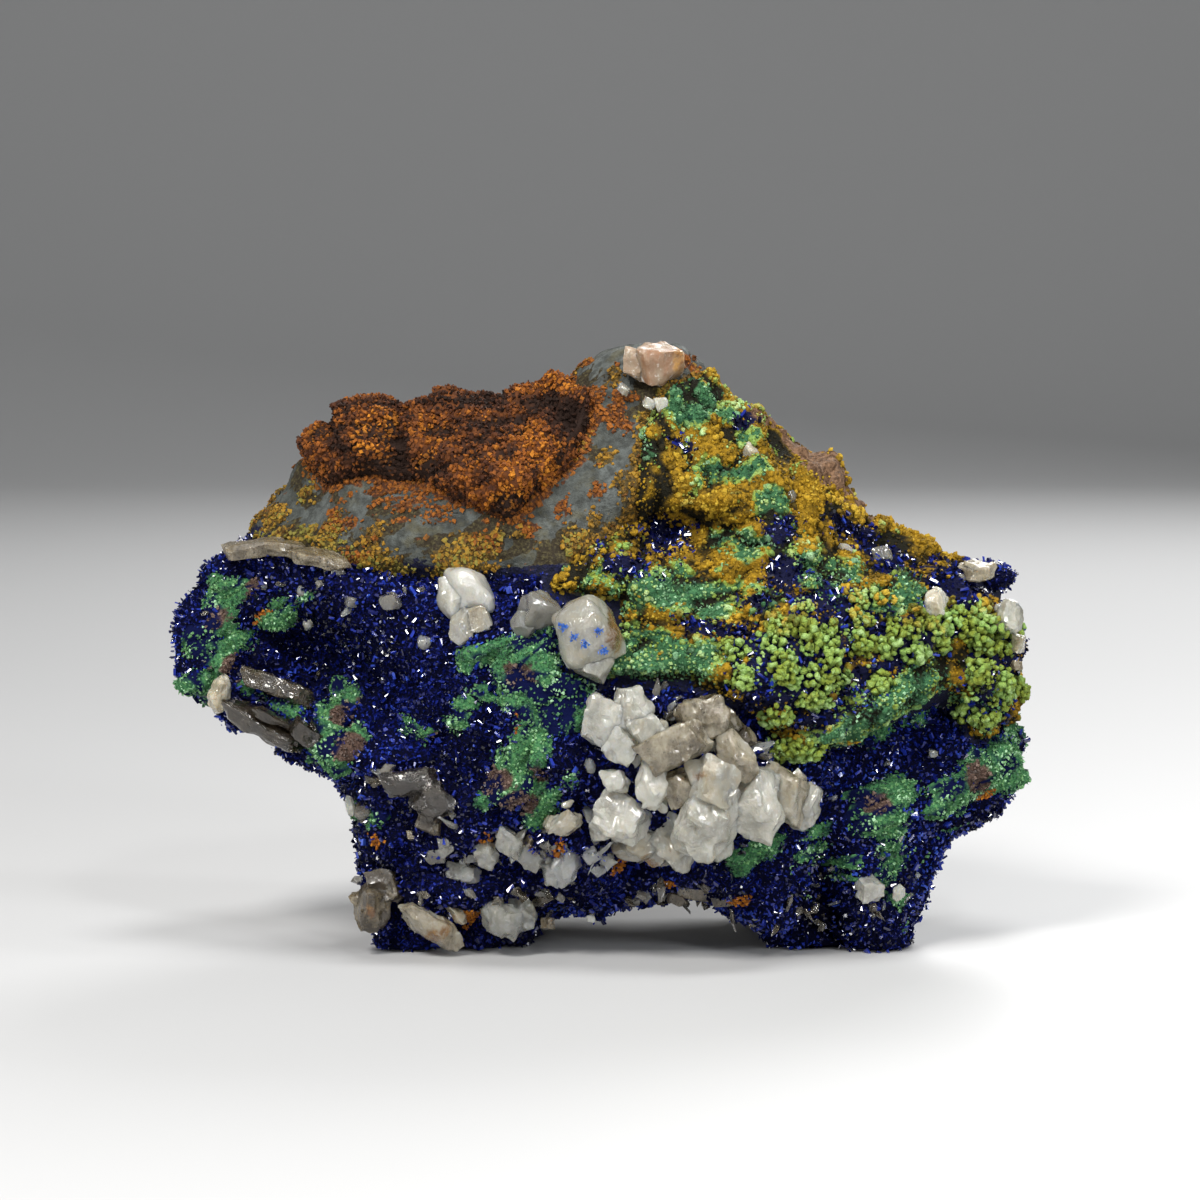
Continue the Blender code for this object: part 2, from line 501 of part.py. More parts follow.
# ---- Crystals and lumps ------------------------------------------------------------------------------------
HABITS = {  # each crystal's corners, as fractions of its half width, half height and half thickness
    "block": [(x, z, y) for x in (-0.92, 0.92) for z in (-0.9, 0.9) for y in (-0.9, 0.9)]
    + [(0.1, 1.08, 0.2), (-0.15, -1.05, -0.2)],
    "prism": [(math.cos(k * math.pi / 3), z, math.sin(k * math.pi / 3)) for k in range(6) for z in (-0.55, 0.5)]
    + [(0.1, 1.1, -0.1), (-0.12, -1.08, 0.1)],
    "blade": [(x * w, z, y) for z, w in ((-0.5, 1), (0.45, 1)) for x in (-1, 1) for y in (-0.8, 0.8)]
    + [(0, 1.05, 0.3), (0, 1.0, -0.3), (0, -1.05, 0)],
}


def lump_corners():
    """Twenty corners of a round, many-faced crystal, in layers from top to bottom."""
    layers = ((-0.96, 0.42), (-0.45, 0.94), (0.35, 1.0), (0.9, 0.5))
    corners = []
    for height, radius in layers:
        for k in range(5):
            turn = k * 2 * math.pi / 5 + height * 2
            corners.append((radius * math.cos(turn), height, radius * math.sin(turn)))
    return corners


def hull_object(name, corners, material):
    """A closed convex solid round the corners, which are in millimetres."""
    bm = bmesh.new()
    for corner in corners:
        bm.verts.new([value * MM for value in corner])
    bmesh.ops.convex_hull(bm, input=bm.verts)
    bmesh.ops.delete(bm, geom=[v for v in bm.verts if not v.link_faces], context="VERTS")
    bmesh.ops.recalc_face_normals(bm, faces=bm.faces)
    mesh = bpy.data.meshes.new(name)
    bm.to_mesh(mesh)
    bm.free()
    mesh.materials.append(material)
    made = bpy.data.objects.new(name, mesh)
    bpy.context.scene.collection.objects.link(made)
    return made


def seat_on(across, up, stand_out):
    """The place that stands a distance out of the crust's face at (across, up), and the way out there."""
    bearing, polar = polar_at(np.array([float(across)]), np.array([float(up)]))
    way = outward(bearing, polar)[0]
    return rock_form(bearing, polar)[0] + way * (SEAT_DEPTH + stand_out), way


def crystal_corners(across, up, stand_out, width, height, thickness, tilt, habit, seed):
    """A crystal's corners: its habit, a little uneven, scaled, tilted and stood out of the crust."""
    shape = np.array(lump_corners() if habit == "lump" else HABITS[habit])
    shape = shape * (1 + 0.16 * (lattice_value(np.round(shape * 50), seed)[:, None] - 0.5))
    shape = shape * [width / 2, height / 2, thickness / 2]
    turn = math.radians(tilt)
    x = shape[:, 0] * math.cos(turn) + shape[:, 1] * math.sin(turn)
    z = shape[:, 1] * math.cos(turn) - shape[:, 0] * math.sin(turn)
    middle, _way = seat_on(across, up, stand_out)
    return np.stack([x + across, shape[:, 2] + middle[1], np.maximum(z + up, 0.0)], axis=1)


def combine(body, other, operation, solver="EXACT"):
    """Gives the body a Boolean with the other object, which it hides."""
    step = body.modifiers.new(other.name, "BOOLEAN")
    step.operation = operation
    step.solver = solver
    step.object = other
    other.hide_render = True
    other.display_type = "WIRE"


def baked(body, helpers):
    """Keeps the largest piece of the body's evaluated mesh in place of its modifiers, without the helpers."""
    bpy.context.view_layer.update()
    graph = bpy.context.evaluated_depsgraph_get()
    finished = bpy.data.meshes.new_from_object(body.evaluated_get(graph))
    body.modifiers.clear()
    body.data = finished
    for helper in helpers:
        bpy.data.objects.remove(helper)
    bm = bmesh.new()
    bm.from_mesh(finished)
    pieces, left = [], set(bm.verts)
    while left:
        reached = [left.pop()]
        for vertex in reached:
            for other in [edge.other_vert(vertex) for edge in vertex.link_edges]:
                if other in left:
                    left.remove(other)
                    reached.append(other)
        pieces.append(reached)
    pieces.sort(key=len)
    bmesh.ops.delete(bm, geom=[vertex for piece in pieces[:-1] for vertex in piece], context="VERTS")
    bm.to_mesh(finished)
    bm.free()


def fused(body, helpers, solver="EXACT"):
    """Joins the helper solids to the body in one union each."""
    for helper in helpers:
        combine(body, helper, "UNION", solver)
    baked(body, helpers)


def crystal_group(name, crystals, seat, material):
    """The crystals of one group as one solid, trimmed a gap clear of the crust that they stand on."""
    solids = [
        hull_object(f"{name}_{k}", crystal_corners(*crystal, seed=100 + k), material)
        for k, crystal in enumerate(crystals)
    ]
    body, helpers = solids[0], solids[1:]
    fused(body, helpers)
    body.name = body.data.name = name
    combine(body, seat, "DIFFERENCE")
    baked(body, [])
    return body


def patch_faces(rings):
    """The faces of a disc of rings round one middle point, wound so that it faces out of the rock's front."""
    fan = [(0, 1 + k, 1 + (k + 1) % PATCH_FACETS) for k in range(PATCH_FACETS)]
    band = []
    for ring in range(rings - 1):
        for k in range(PATCH_FACETS):
            a = 1 + ring * PATCH_FACETS + k
            b = 1 + ring * PATCH_FACETS + (k + 1) % PATCH_FACETS
            band += [(a, b + PATCH_FACETS, b), (a, a + PATCH_FACETS, b + PATCH_FACETS)]
    return np.array(fan + band)


def malachite_patch(name, shape, seat, material):
    """A lens of malachite over a tilted ellipse of the crust, trimmed a gap clear of it."""
    *middle, half_width, half_height, tilt = shape
    angle = np.arange(PATCH_FACETS) * 2 * math.pi / PATCH_FACETS
    radius = np.concatenate([[0.0], np.repeat(PATCH_RINGS, PATCH_FACETS)])
    angle = np.concatenate([[0.0], np.tile(angle, len(PATCH_RINGS))])
    ragged = 1 + 0.12 * np.sin(3 * angle + half_width) * (radius == 1)
    a = radius * ragged * half_width * np.cos(angle)
    b = radius * ragged * half_height * np.sin(angle)
    turn = math.radians(tilt)
    across = middle[0] + a * math.cos(turn) - b * math.sin(turn)
    up = middle[1] + a * math.sin(turn) + b * math.cos(turn)
    bearing, polar = polar_at(across, up)
    ways = outward(bearing, polar)
    foot = rock_form(bearing, polar) + ways * (SEAT_DEPTH - PATCH_ROOT)
    height = np.where(radius == 1, PATCH_EDGE, PATCH_THICKNESS + 0.8 * smooth_noise(foot, 3.0, seed=61))
    height = height + PATCH_ROOT
    cap = patch_faces(len(PATCH_RINGS))
    last = np.arange(len(across) - PATCH_FACETS, len(across))
    after = np.roll(last, -1)
    more = len(across)
    faces = np.concatenate([cap + more, cap[:, ::-1], wall_between(last, after, more)])
    body = solid_object(name, np.concatenate([foot, foot + ways * height[:, None]]), faces, material)
    combine(body, seat, "DIFFERENCE")
    baked(body, [])


def ball(name, place, way, radius, material):
    """One round lump, sunk into the crust at a place, as an icosphere with slightly uneven corners."""
    bm = bmesh.new()
    bmesh.ops.create_icosphere(bm, subdivisions=1, radius=1)
    corners = np.array([v.co for v in bm.verts])
    uneven = 1 + 0.14 * smooth_noise(corners * 2 + place, 1.0, seed=71)
    bm.free()
    corners = corners * uneven[:, None] * radius - way * BALL_SINK * radius
    corners += np.maximum(-BALL_ROOT - corners @ way, 0)[:, None] * way
    return hull_object(name, corners + place, material)


def blade_corners(place, way, lean):
    """A flat, pointed crystal that grows out of the crust at a place and leans to one side of the way out."""
    side = np.array([math.cos(lean), 0.0, math.sin(lean)])
    axis = way * 0.75 + side * 0.66
    axis /= np.linalg.norm(axis)
    flat = np.cross(axis, side)
    flat /= np.linalg.norm(flat)
    thick = np.cross(axis, flat)
    base = place - way * BLADE_ROOT
    corners = [base + axis * BLADE_LENGTH]
    for along, wide in ((0, 0.8), (0.72, 1.0)):
        for s, t in ((-1, -1), (-1, 1), (1, 1), (1, -1)):
            across = flat * s * wide * BLADE_WIDTH / 2 + thick * t * BLADE_WIDTH * 0.18
            corners.append(base + axis * along * BLADE_LENGTH + across)
    return corners


def clear_of(place, crystals, patches):
    """Whether a place on the front keeps clear of every crystal and malachite patch."""
    near = [math.hypot(place[0] - c[0], place[2] - c[1]) - 0.5 * max(c[3:5]) for c in crystals]
    near += [math.hypot(place[0] - p[0], place[2] - p[1]) - 0.65 * (p[2] + p[3]) for p in patches]
    return min(near) > STANDING_ROOM


def standing_places(quads, points, ways, depth, spacing):
    """Middles of the crust's inner quads on its outer face, with the way out, no two nearer than a spacing."""
    inner = quads[~np.isin(quads, border_edges(quads)).any(axis=1)]
    order = np.argsort(lattice_value(inner[:, [0, 1, 2]], 81))
    surface = points + ways * (FIT_GAP + depth[:, None])
    crystals = [crystal for group in CRYSTALS.values() for crystal in group]
    patches = [*MALACHITE_PATCHES.values(), RELIEF["cleft"]]
    found = []
    for quad in inner[order]:
        place, way = surface[quad].mean(axis=0), ways[quad].mean(axis=0)
        apart = all(np.linalg.norm(place - other) > spacing for other, _way in found)
        faces_front = way[1] < -0.7 and place[2] > LOWEST_BLADE
        if apart and faces_front and clear_of(place, crystals, patches):
            found.append((place, way))
    return found


# ---- The specimen ------------------------------------------------------------------------------------------
def finish(name, colour, roughness):
    """A Principled material of one colour."""
    made = bpy.data.materials.new(name)
    made.use_nodes = True
    shader = made.node_tree.nodes["Principled BSDF"]
    shader.inputs["Base Color"].default_value = (*colour, 1)
    shader.inputs["Roughness"].default_value = roughness
    shader.inputs["Metallic"].default_value = 0.0
    return made


def centre_on_origin():
    """Slides every piece sideways alike, so that the origin lies under the middle of them all."""
    corners = np.concatenate([np.array([v.co for v in obj.data.vertices]) for obj in bpy.data.objects])
    middle = (corners.min(axis=0) + corners.max(axis=0)) / 2
    for obj in bpy.data.objects:
        obj.data.transform(Matrix.Translation((-middle[0], -middle[1], 0)))


def main():
    for old in list(bpy.data.objects):
        bpy.data.objects.remove(old)
    stone = finish("grey_limestone", (0.20, 0.22, 0.21), 0.85)
    rust = finish("limonite", (0.42, 0.13, 0.03), 0.9)
    green = finish("ochre_and_malachite", (0.42, 0.40, 0.08), 0.8)
    blue = finish("azurite", (0.02, 0.03, 0.30), 0.3)
    malachite = finish("malachite", (0.08, 0.36, 0.22), 0.7)
    calcite = finish("calcite", (0.75, 0.70, 0.62), 0.35)
    brown = finish("stained_calcite", (0.42, 0.30, 0.18), 0.6)

    bearing, polar, quads = pillow_grid(GRID_CELLS)
    points = rock_form(bearing, polar)
    ways = outward(bearing, polar)
    solid_object("host_rock", points, triangles(quads), stone)

    areas = crust_areas(points, polar)
    lumpy = smooth_noise(points, 4.0, seed=51)
    stand = np.zeros(len(points))
    for area, name, material, thickness, spacing in (
        ("rust", "limonite_crust", rust, RUST_THICKNESS, 4.4),
        ("green", "malachite_crust", green, GREEN_THICKNESS, 5.2),
        ("azurite", "azurite_crust", blue, AZURITE_THICKNESS, 5.4),
    ):
        inside = evened(areas[area][quads].mean(axis=1) > 0, quads)
        free = (stand[quads].max(axis=1) == 0) & (points[quads][..., 2].min(axis=1) > LOWEST_CRUST)
        covered = quads[inside & free]
        covered = unpinched(largest_patch(covered))
        depth = thickness * (1 + 0.25 * lumpy)
        depth[np.unique(border_edges(covered))] = CRUST_EDGE
        stand[np.unique(covered)] = FIT_GAP + depth[np.unique(covered)]
        made = crust(name, covered, points, ways, depth, material)
        grown = []
        for k, (place, way) in enumerate(standing_places(covered, points, ways, depth, spacing)):
            chance = lattice_value([[k, 5, 9]], 83)[0]
            if area == "azurite":
                corners = blade_corners(place, way, 2 * math.pi * chance)
                grown.append(hull_object(f"blade_{k}", corners, material))
            else:
                radius = BALL_RADIUS[area] * (0.75 + 0.5 * chance)
                grown.append(ball(f"{area}_ball_{k}", place, way, radius, material))
        fused(made, grown, solver="MANIFOLD")

    seat = solid_object("seat", points + ways * (stand + FIT_GAP)[:, None], triangles(quads), stone)
    for name, shape in MALACHITE_PATCHES.items():
        malachite_patch(name, shape, seat, malachite)
    for name, crystals_of in CRYSTALS.items():
        material = brown if name in STAINED else calcite
        crystal_group(name, crystals_of, seat, material)
    bpy.data.objects.remove(seat)
    centre_on_origin()


if __name__ == "__main__":
    main()
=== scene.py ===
"""Azurite specimen, dressed: fine meshes and procedural finishes for the rock, its crusts and its crystals.

Lengths in this file are millimetres unless a property says otherwise, and the meshes are made in metres.
X runs to the right across the show face, Y runs away from it, and Z runs up.
"""

import functools
import math
from typing import NamedTuple

import bpy
import numpy as np
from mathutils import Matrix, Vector


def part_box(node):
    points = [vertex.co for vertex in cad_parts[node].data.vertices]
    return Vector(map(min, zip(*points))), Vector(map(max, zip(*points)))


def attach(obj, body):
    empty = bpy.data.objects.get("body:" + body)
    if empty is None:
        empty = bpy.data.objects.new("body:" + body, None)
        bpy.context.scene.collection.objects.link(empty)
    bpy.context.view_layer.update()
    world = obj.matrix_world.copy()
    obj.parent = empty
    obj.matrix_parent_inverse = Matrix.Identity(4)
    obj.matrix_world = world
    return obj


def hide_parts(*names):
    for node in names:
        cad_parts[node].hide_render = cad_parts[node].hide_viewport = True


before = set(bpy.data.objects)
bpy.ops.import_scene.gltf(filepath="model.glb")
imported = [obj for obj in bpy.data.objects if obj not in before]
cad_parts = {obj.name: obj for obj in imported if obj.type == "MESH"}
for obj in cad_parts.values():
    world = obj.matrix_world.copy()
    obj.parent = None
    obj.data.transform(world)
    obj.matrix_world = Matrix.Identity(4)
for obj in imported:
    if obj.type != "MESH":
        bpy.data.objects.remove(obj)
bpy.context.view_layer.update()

bl_info = {
    "name": "Azurite Specimen",
    "version": (1, 0, 0),
    "blender": (4, 5, 0),
    "location": "3D View > Sidebar > Specimen",
    "description": "Builds an azurite, malachite and calcite specimen round a packed CAD model",
    "category": "Add Mesh",
}

MM = 0.001

# ---- The rock's form, in the same numbers as its solids ----
MIDDLE_UP = 30.7  # height of the point that the outline is measured round
CAD_CELLS = 22  # cells along one side of the front or back sheet of the packed rock
BACK_DEPTH = 21.0  # from the rim's plane to the furthest point behind
FIT_GAP = 0.35  # between a crust or crystal and what it sits on
REAR_DROP = 8.0  # how far the rear feet are drawn down to stand
SQUARE_SIDE, SQUARE_UNDER = 2.9, 5.5  # how squarely the rock turns at its rim, at the sides and below
HALF_WIDTH, HALF_DEPTH, HALF_HEIGHT = 44, 20, 30  # of an ellipsoid about as large as the rock
BEARING_STEP, BEARING_SMOOTH = 0.5, 14  # in degrees: the outline's steps, and its smoothing on the face
RIM_DETAIL = 0.78, 0.97  # where the outline's own detail comes in, as parts of the reach to the rim
BREAK_FLATNESS = 0.92  # how nearly flat the broken faces are: 1 is quite flat
HALVINGS = 30  # steps in the search for a place on the face
# The two rails that it rests on: where each one starts and is full from the inner side, then the outer.
RAILS = ((-5.0, -9.0, -25.0, -20.0), (15.0, 19.0, 34.0, 30.0))

# The outline of the rock seen from the front, as (across, up), clockwise from the left tip.
OUTLINE = (
    (-43.6, 27.5), (-42.4, 34.6), (-40.2, 37.6), (-37.6, 41), (-35.2, 43), (-32.8, 46.2), (-30.8, 50.2),
    (-27.4, 52.8), (-24, 54.4), (-21.6, 55.2), (-19.4, 54), (-17.2, 54.8), (-14.6, 56), (-10.1, 55),
    (-6.1, 55.3), (-3, 58), (0.2, 60.4), (3, 61.4), (8, 61.2), (9.8, 59.4), (13.9, 55), (17, 53.4),
    (20, 52.4), (23.2, 49.9), (25.6, 46.4), (28.4, 43.4), (32.2, 41.2), (34.2, 39.2), (37.4, 38.5),
    (40.4, 38.8), (41.8, 37.2), (42.2, 33), (42.6, 30), (41.6, 26.7), (42.8, 23.5), (43.4, 19.4),
    (42.4, 16.2), (39.4, 12.9), (35.4, 10.2), (32, 7.7), (30.4, 4), (28.8, 0.6), (25.6, 0.6), (21.8, 4.4),
    (20.6, 1.6), (17.6, 1.8), (13.6, 3.6), (9.9, 4.7), (5.4, 5.2), (-0.1, 4), (-7.1, 3.6), (-12.1, 3.4),
    (-17.1, 2.6), (-21.6, 4), (-23.8, 6.6), (-24.6, 9.6), (-25.2, 13.4), (-27.8, 16.5), (-31.1, 18.6),
    (-35.4, 20.9), (-39.8, 23.4), (-42.8, 25.4),
)

# How far the front face stands out at (across, up): these places are blended into one smooth face.
FACE_SPREAD = 5.5
FACE = (
    (5, 59, 6.5), (-2, 55, 9), (0, 49, 12), (-12, 52, 12), (-24, 51, 10), (-31, 46, 10), (-20, 44, 14.5),
    (-6, 44, 15.5), (8, 50, 11.5), (16, 49, 11), (24, 43, 12), (14, 42, 15.5), (5, 42, 16), (-38, 40, 8.5),
    (-28, 39, 16), (-16, 38.5, 19.5), (-5, 38, 19), (6, 37, 19), (18, 36, 19), (30, 36, 15), (39, 36, 8),
    (-40, 30, 10), (-30, 27, 14), (-17, 28, 18), (-8, 28, 20.5), (4, 27, 21), (14, 26, 21), (26, 28, 19),
    (37, 28, 12), (-22, 16, 14), (-12, 13, 18.5), (0, 12, 19.5), (10, 14, 20.5), (20, 12, 17), (29, 18, 14),
    (38, 18, 9), (-12, 7, 14.5), (-18, 6, 13), (0, 6, 13.5), (12, 7, 14.5), (19, 6, 13), (27, 6, 11.5),
)

# Lumps (+) and hollows (-) on the front: across, up, half width, half height, tilt, height.
RELIEF = {
    "left_cavity": (-28, 29, 8.6, 5.2, -18, -9.5),
    "cavity_shelf": (-30.2, 23.6, 7, 1.9, -26, 3.5),
    "left_rim": (-39.6, 31, 2.8, 6, 8, 1.6),
    "cavity_corner": (-25, 21.6, 3, 2.6, 20, 2.4),
    "green_rib": (-6.1, 25.6, 4.4, 9.5, 6, 1.7),
    "rust_mass": (-10.8, 49.6, 8.4, 5.4, -10, 4.4),
    "rust_lump_right": (-22.6, 51.8, 3, 3.6, -12, 4.4),
    "rust_lump_left": (-27.6, 51, 2.8, 2.6, 20, 3),
    "slab_under_rust": (-22, 42.6, 9, 3, -6, 1.8),
    "under_slab": (-18.5, 38, 7, 1.1, -4, -2.6),
    "grey_flank": (1.5, 48.6, 4.4, 7.2, -34, 1.4),
    "ochre_pocket": (7.6, 42.4, 5, 2.1, -6, -6),
    "ochre_brow": (9.2, 46.6, 5.4, 1.9, -14, 2.2),
    "top_pocket": (19, 50, 2.4, 1.3, -20, -3.4),
    "right_notch": (25.6, 40.6, 4.2, 1.4, -24, -3.4),
    "ball_bench": (19.6, 31, 6.4, 4.6, 0, 3),
    "ball_spur": (31.4, 32.4, 4.6, 2.4, 18, 2.6),
    "bench_undercut": (14, 23.6, 8, 1.6, -8, -3),
    "green_ledge": (28.4, 26.4, 7.4, 1.5, 25, 4.6),
    "ledge_hollow": (32.4, 22.8, 6.6, 1.9, 25, -6),
    "right_mound": (38.6, 27.6, 2.8, 6, 0, 2.4),
    "green_mound": (28.4, 14.8, 3.3, 3.1, 0, 2.8),
    "corner_mound": (39.2, 16.6, 3.6, 3.2, 30, 2),
    "cleft": (22.4, 5.4, 1.5, 6, 4, -5),
    "lump_beside_cleft": (18, 7, 4, 4.8, 10, 2.2),
    "foot_lump": (27.2, 5.4, 3.3, 4.6, 0, 3.2),
    "calcite_seat": (9.6, 20, 8, 5.4, -25, 1.6),
    "low_hollow": (4, 10.6, 5, 1.8, 8, -2.2),
    "lower_left_shoulder": (-20, 17.6, 4.6, 3.6, -30, 1.8),
}

# Broken faces of the back and sides: the direction each one faces, and how far it lies from the middle.
BREAKS = (
    ((0.1, 1, 0.16), 19.5), ((-0.6, 0.78, 0.18), 24.5), ((0.66, 0.74, 0.1), 26),
    ((-0.05, 0.62, 0.78), 26), ((0.44, 0.46, 0.77), 28), ((-0.46, 0.4, 0.79), 27.5),
    ((-0.7, 0.42, -0.58), 33), ((0.74, 0.36, -0.56), 35), ((-0.93, 0.36, 0.05), 35.5),
    ((0.92, 0.38, 0.06), 37), ((0.05, 0.8, -0.6), 29),
)

# Where each crust grew, as closed outlines of (across, up) on the front face.
RUST_OUTLINE = (
    (-31.5, 51), (-27.5, 54.5), (-22.5, 57), (-17.5, 55.5), (-13, 58), (-6, 57), (0, 55.6), (-0.6, 52.6),
    (-3.2, 48.6), (-8.8, 43.8), (-15, 46.2), (-21, 47), (-23, 48.6), (-27.5, 47.2),
)
GREEN_OUTLINE = (
    (4.2, 52), (7, 57.4), (11, 58), (17, 55), (24, 51), (30, 44), (35, 39.6), (37.6, 36.6), (43.2, 33.4),
    (43.6, 24), (38.2, 21.6), (34.6, 26), (26, 22.2), (17.4, 20.8), (16.4, 24.6), (8.8, 28.2), (0, 28.4),
    (-3.4, 29.6), (1.8, 33.2), (2.4, 36.4), (-5, 37.8), (-1, 42.2), (3.4, 43.6),
)
AZURITE_TOP = ((-44, 40.6), (-34, 41.4), (-26, 39.6), (-15, 38.2), (-5, 38.8), (1, 39.6), (20, 38), (44, 40))
AZURITE_BACK_REACH = 5.0  # how far round behind the rim the azurite runs
RIM_DEPTH = 2.0  # places deeper than this lie round behind the rim
CRUST_ALLOWANCE = 1.3  # how far the rock's rim lies inside the outline, to leave room for the crusts
CRUST_SPACE = 0.6  # how much further in a crust starts where another one grew first
RIM_MARGIN = 0.95  # the outermost place on the face where anything stands, as a part of the rim's reach
SEAT_DEPTH = 2.2  # from the rock to what stands on its crusts

# Fine form
FORM_TOLERANCE = 0.6  # the most that the packed rock's box may differ from this file's form
BED_RISE, BED_SINK, BED_DEPTH = 1.1, 0.3, 1.2  # how a crust's bed rises at its border, and how deep it is
RIM_THIN, LEAST_BED = 0.45, 0.2  # a crust's thickness at the rim as a part of that on the face, and the least
STAIN_RISE, BARE_RIM = 0.8, 1.0  # how far clumps of stain, and bare rock at the rim, stand out
LOWEST_BED, LOWEST_GRAIN = 0.25, 0.02  # how low the crusts' faces and the grains on them come
FOOT_COVER = 0.6  # how far past the feet the azurite runs
TRIES = 7  # places tried for each one kept where crystals are scattered
CRYSTAL_SHARPNESS, LUMP_SHARPNESS = 40, 10
CRYSTAL_WARP, WARP_SIZE = 0.15, 1.9  # how far a crystal's faces swell and sink, as a part of its half width
WEATHER_SMOOTH, WEATHER_ROUGH = (2.4, 0.20), (1.15, 0.32)  # size and depth of the weathering of crystals
GROWTH_STEPS, STEP_SIZE, STEP_RISE = 3.0, 1.4, 0.016  # steps of growth: how many, how wide and how high
STEP_STRETCH = (1.0, 0.35, 1.0)  # they run along the crystal's thickness
PIT_SIZE, PIT_SHARE, PIT_DEPTH = 0.7, 0.45, 0.06  # pits of growth: how wide, how rare and how deep
DIRECTION_JITTER = 0.16  # how far the even directions over a ball are moved
CRYSTAL_EDGE = math.radians(26)  # the least angle between faces that is shaded as a sharp edge
CRYSTAL_HOLLOW = 0.16  # how deep the shell-like breaks are, as a part of the half width
CRYSTAL_GROWTH = 1.10  # how much larger the fine crystals are than their solids
CLUSTER_GROWTH = 1.08  # how much larger again those of the big cluster are, so that they close up
LARGE_CRYSTAL, LARGE_EXTRA_CELLS = 14.0, 3  # a large crystal's width times height, and its finer grid
SATELLITE_SIZES, SATELLITE_REACH = (0.30, 0.55), 0.42  # smaller crystals, as parts of the one they grow on
SATELLITE_LEAN, SATELLITE_TONE = 45, 0.15  # how far they lean away, in degrees, and differ in tone
SMALL_CELLS, CHIP_CELLS, CHIP_TURN = 5, 6, 30.0  # grids of the smaller crystals and chips; degrees
SPRAY_SIZE = 1.7  # how far apart the sprays of leaning crystals are
ROSETTE_LOBES = 13  # about how many lobes stand on the upper half of a rosette
SEAT_SINK = 0.9  # how much lower a crust lies under the crystals that stand on it
POCKET_SHADE = 0.22  # painted shade: how much darker in tone the azurite is made where it shows through the ochre crust, down in its pockets and between the rosettes
# Rings of small crystals: half width and half depth as parts of the crystal's, and height along it.
BLADE_RINGS = ((0.8, 0.34, 0.0), (1.0, 0.38, 0.74), (0.5, 0.05, 1.0))
DRUSE_RINGS = ((0.9, 0.6, 0.0), (0.7, 0.42, 1.0))
TABLET_RINGS = ((0.8, 0.8, -1.2), (1.0, 0.7, 0.25))
TABLET_LEAST, TABLET_SIZES = 0.10, (1.35, 0.62, 1.0)  # the least half width, and how the sizes differ
NEEDLE_RINGS = ((1.0, 0.8, 0.0), (0.22, 0.15, 1.0))
CHIP_RINGS = ((0.9, 0.7, -0.5), (1.2, 0.9, 0.0), (0.7, 0.6, 0.45))
SHARD_RINGS = ((0.6, 0.2, -0.7), (0.9, 0.3, 0.3), (0.3, 0.1, 1.5))

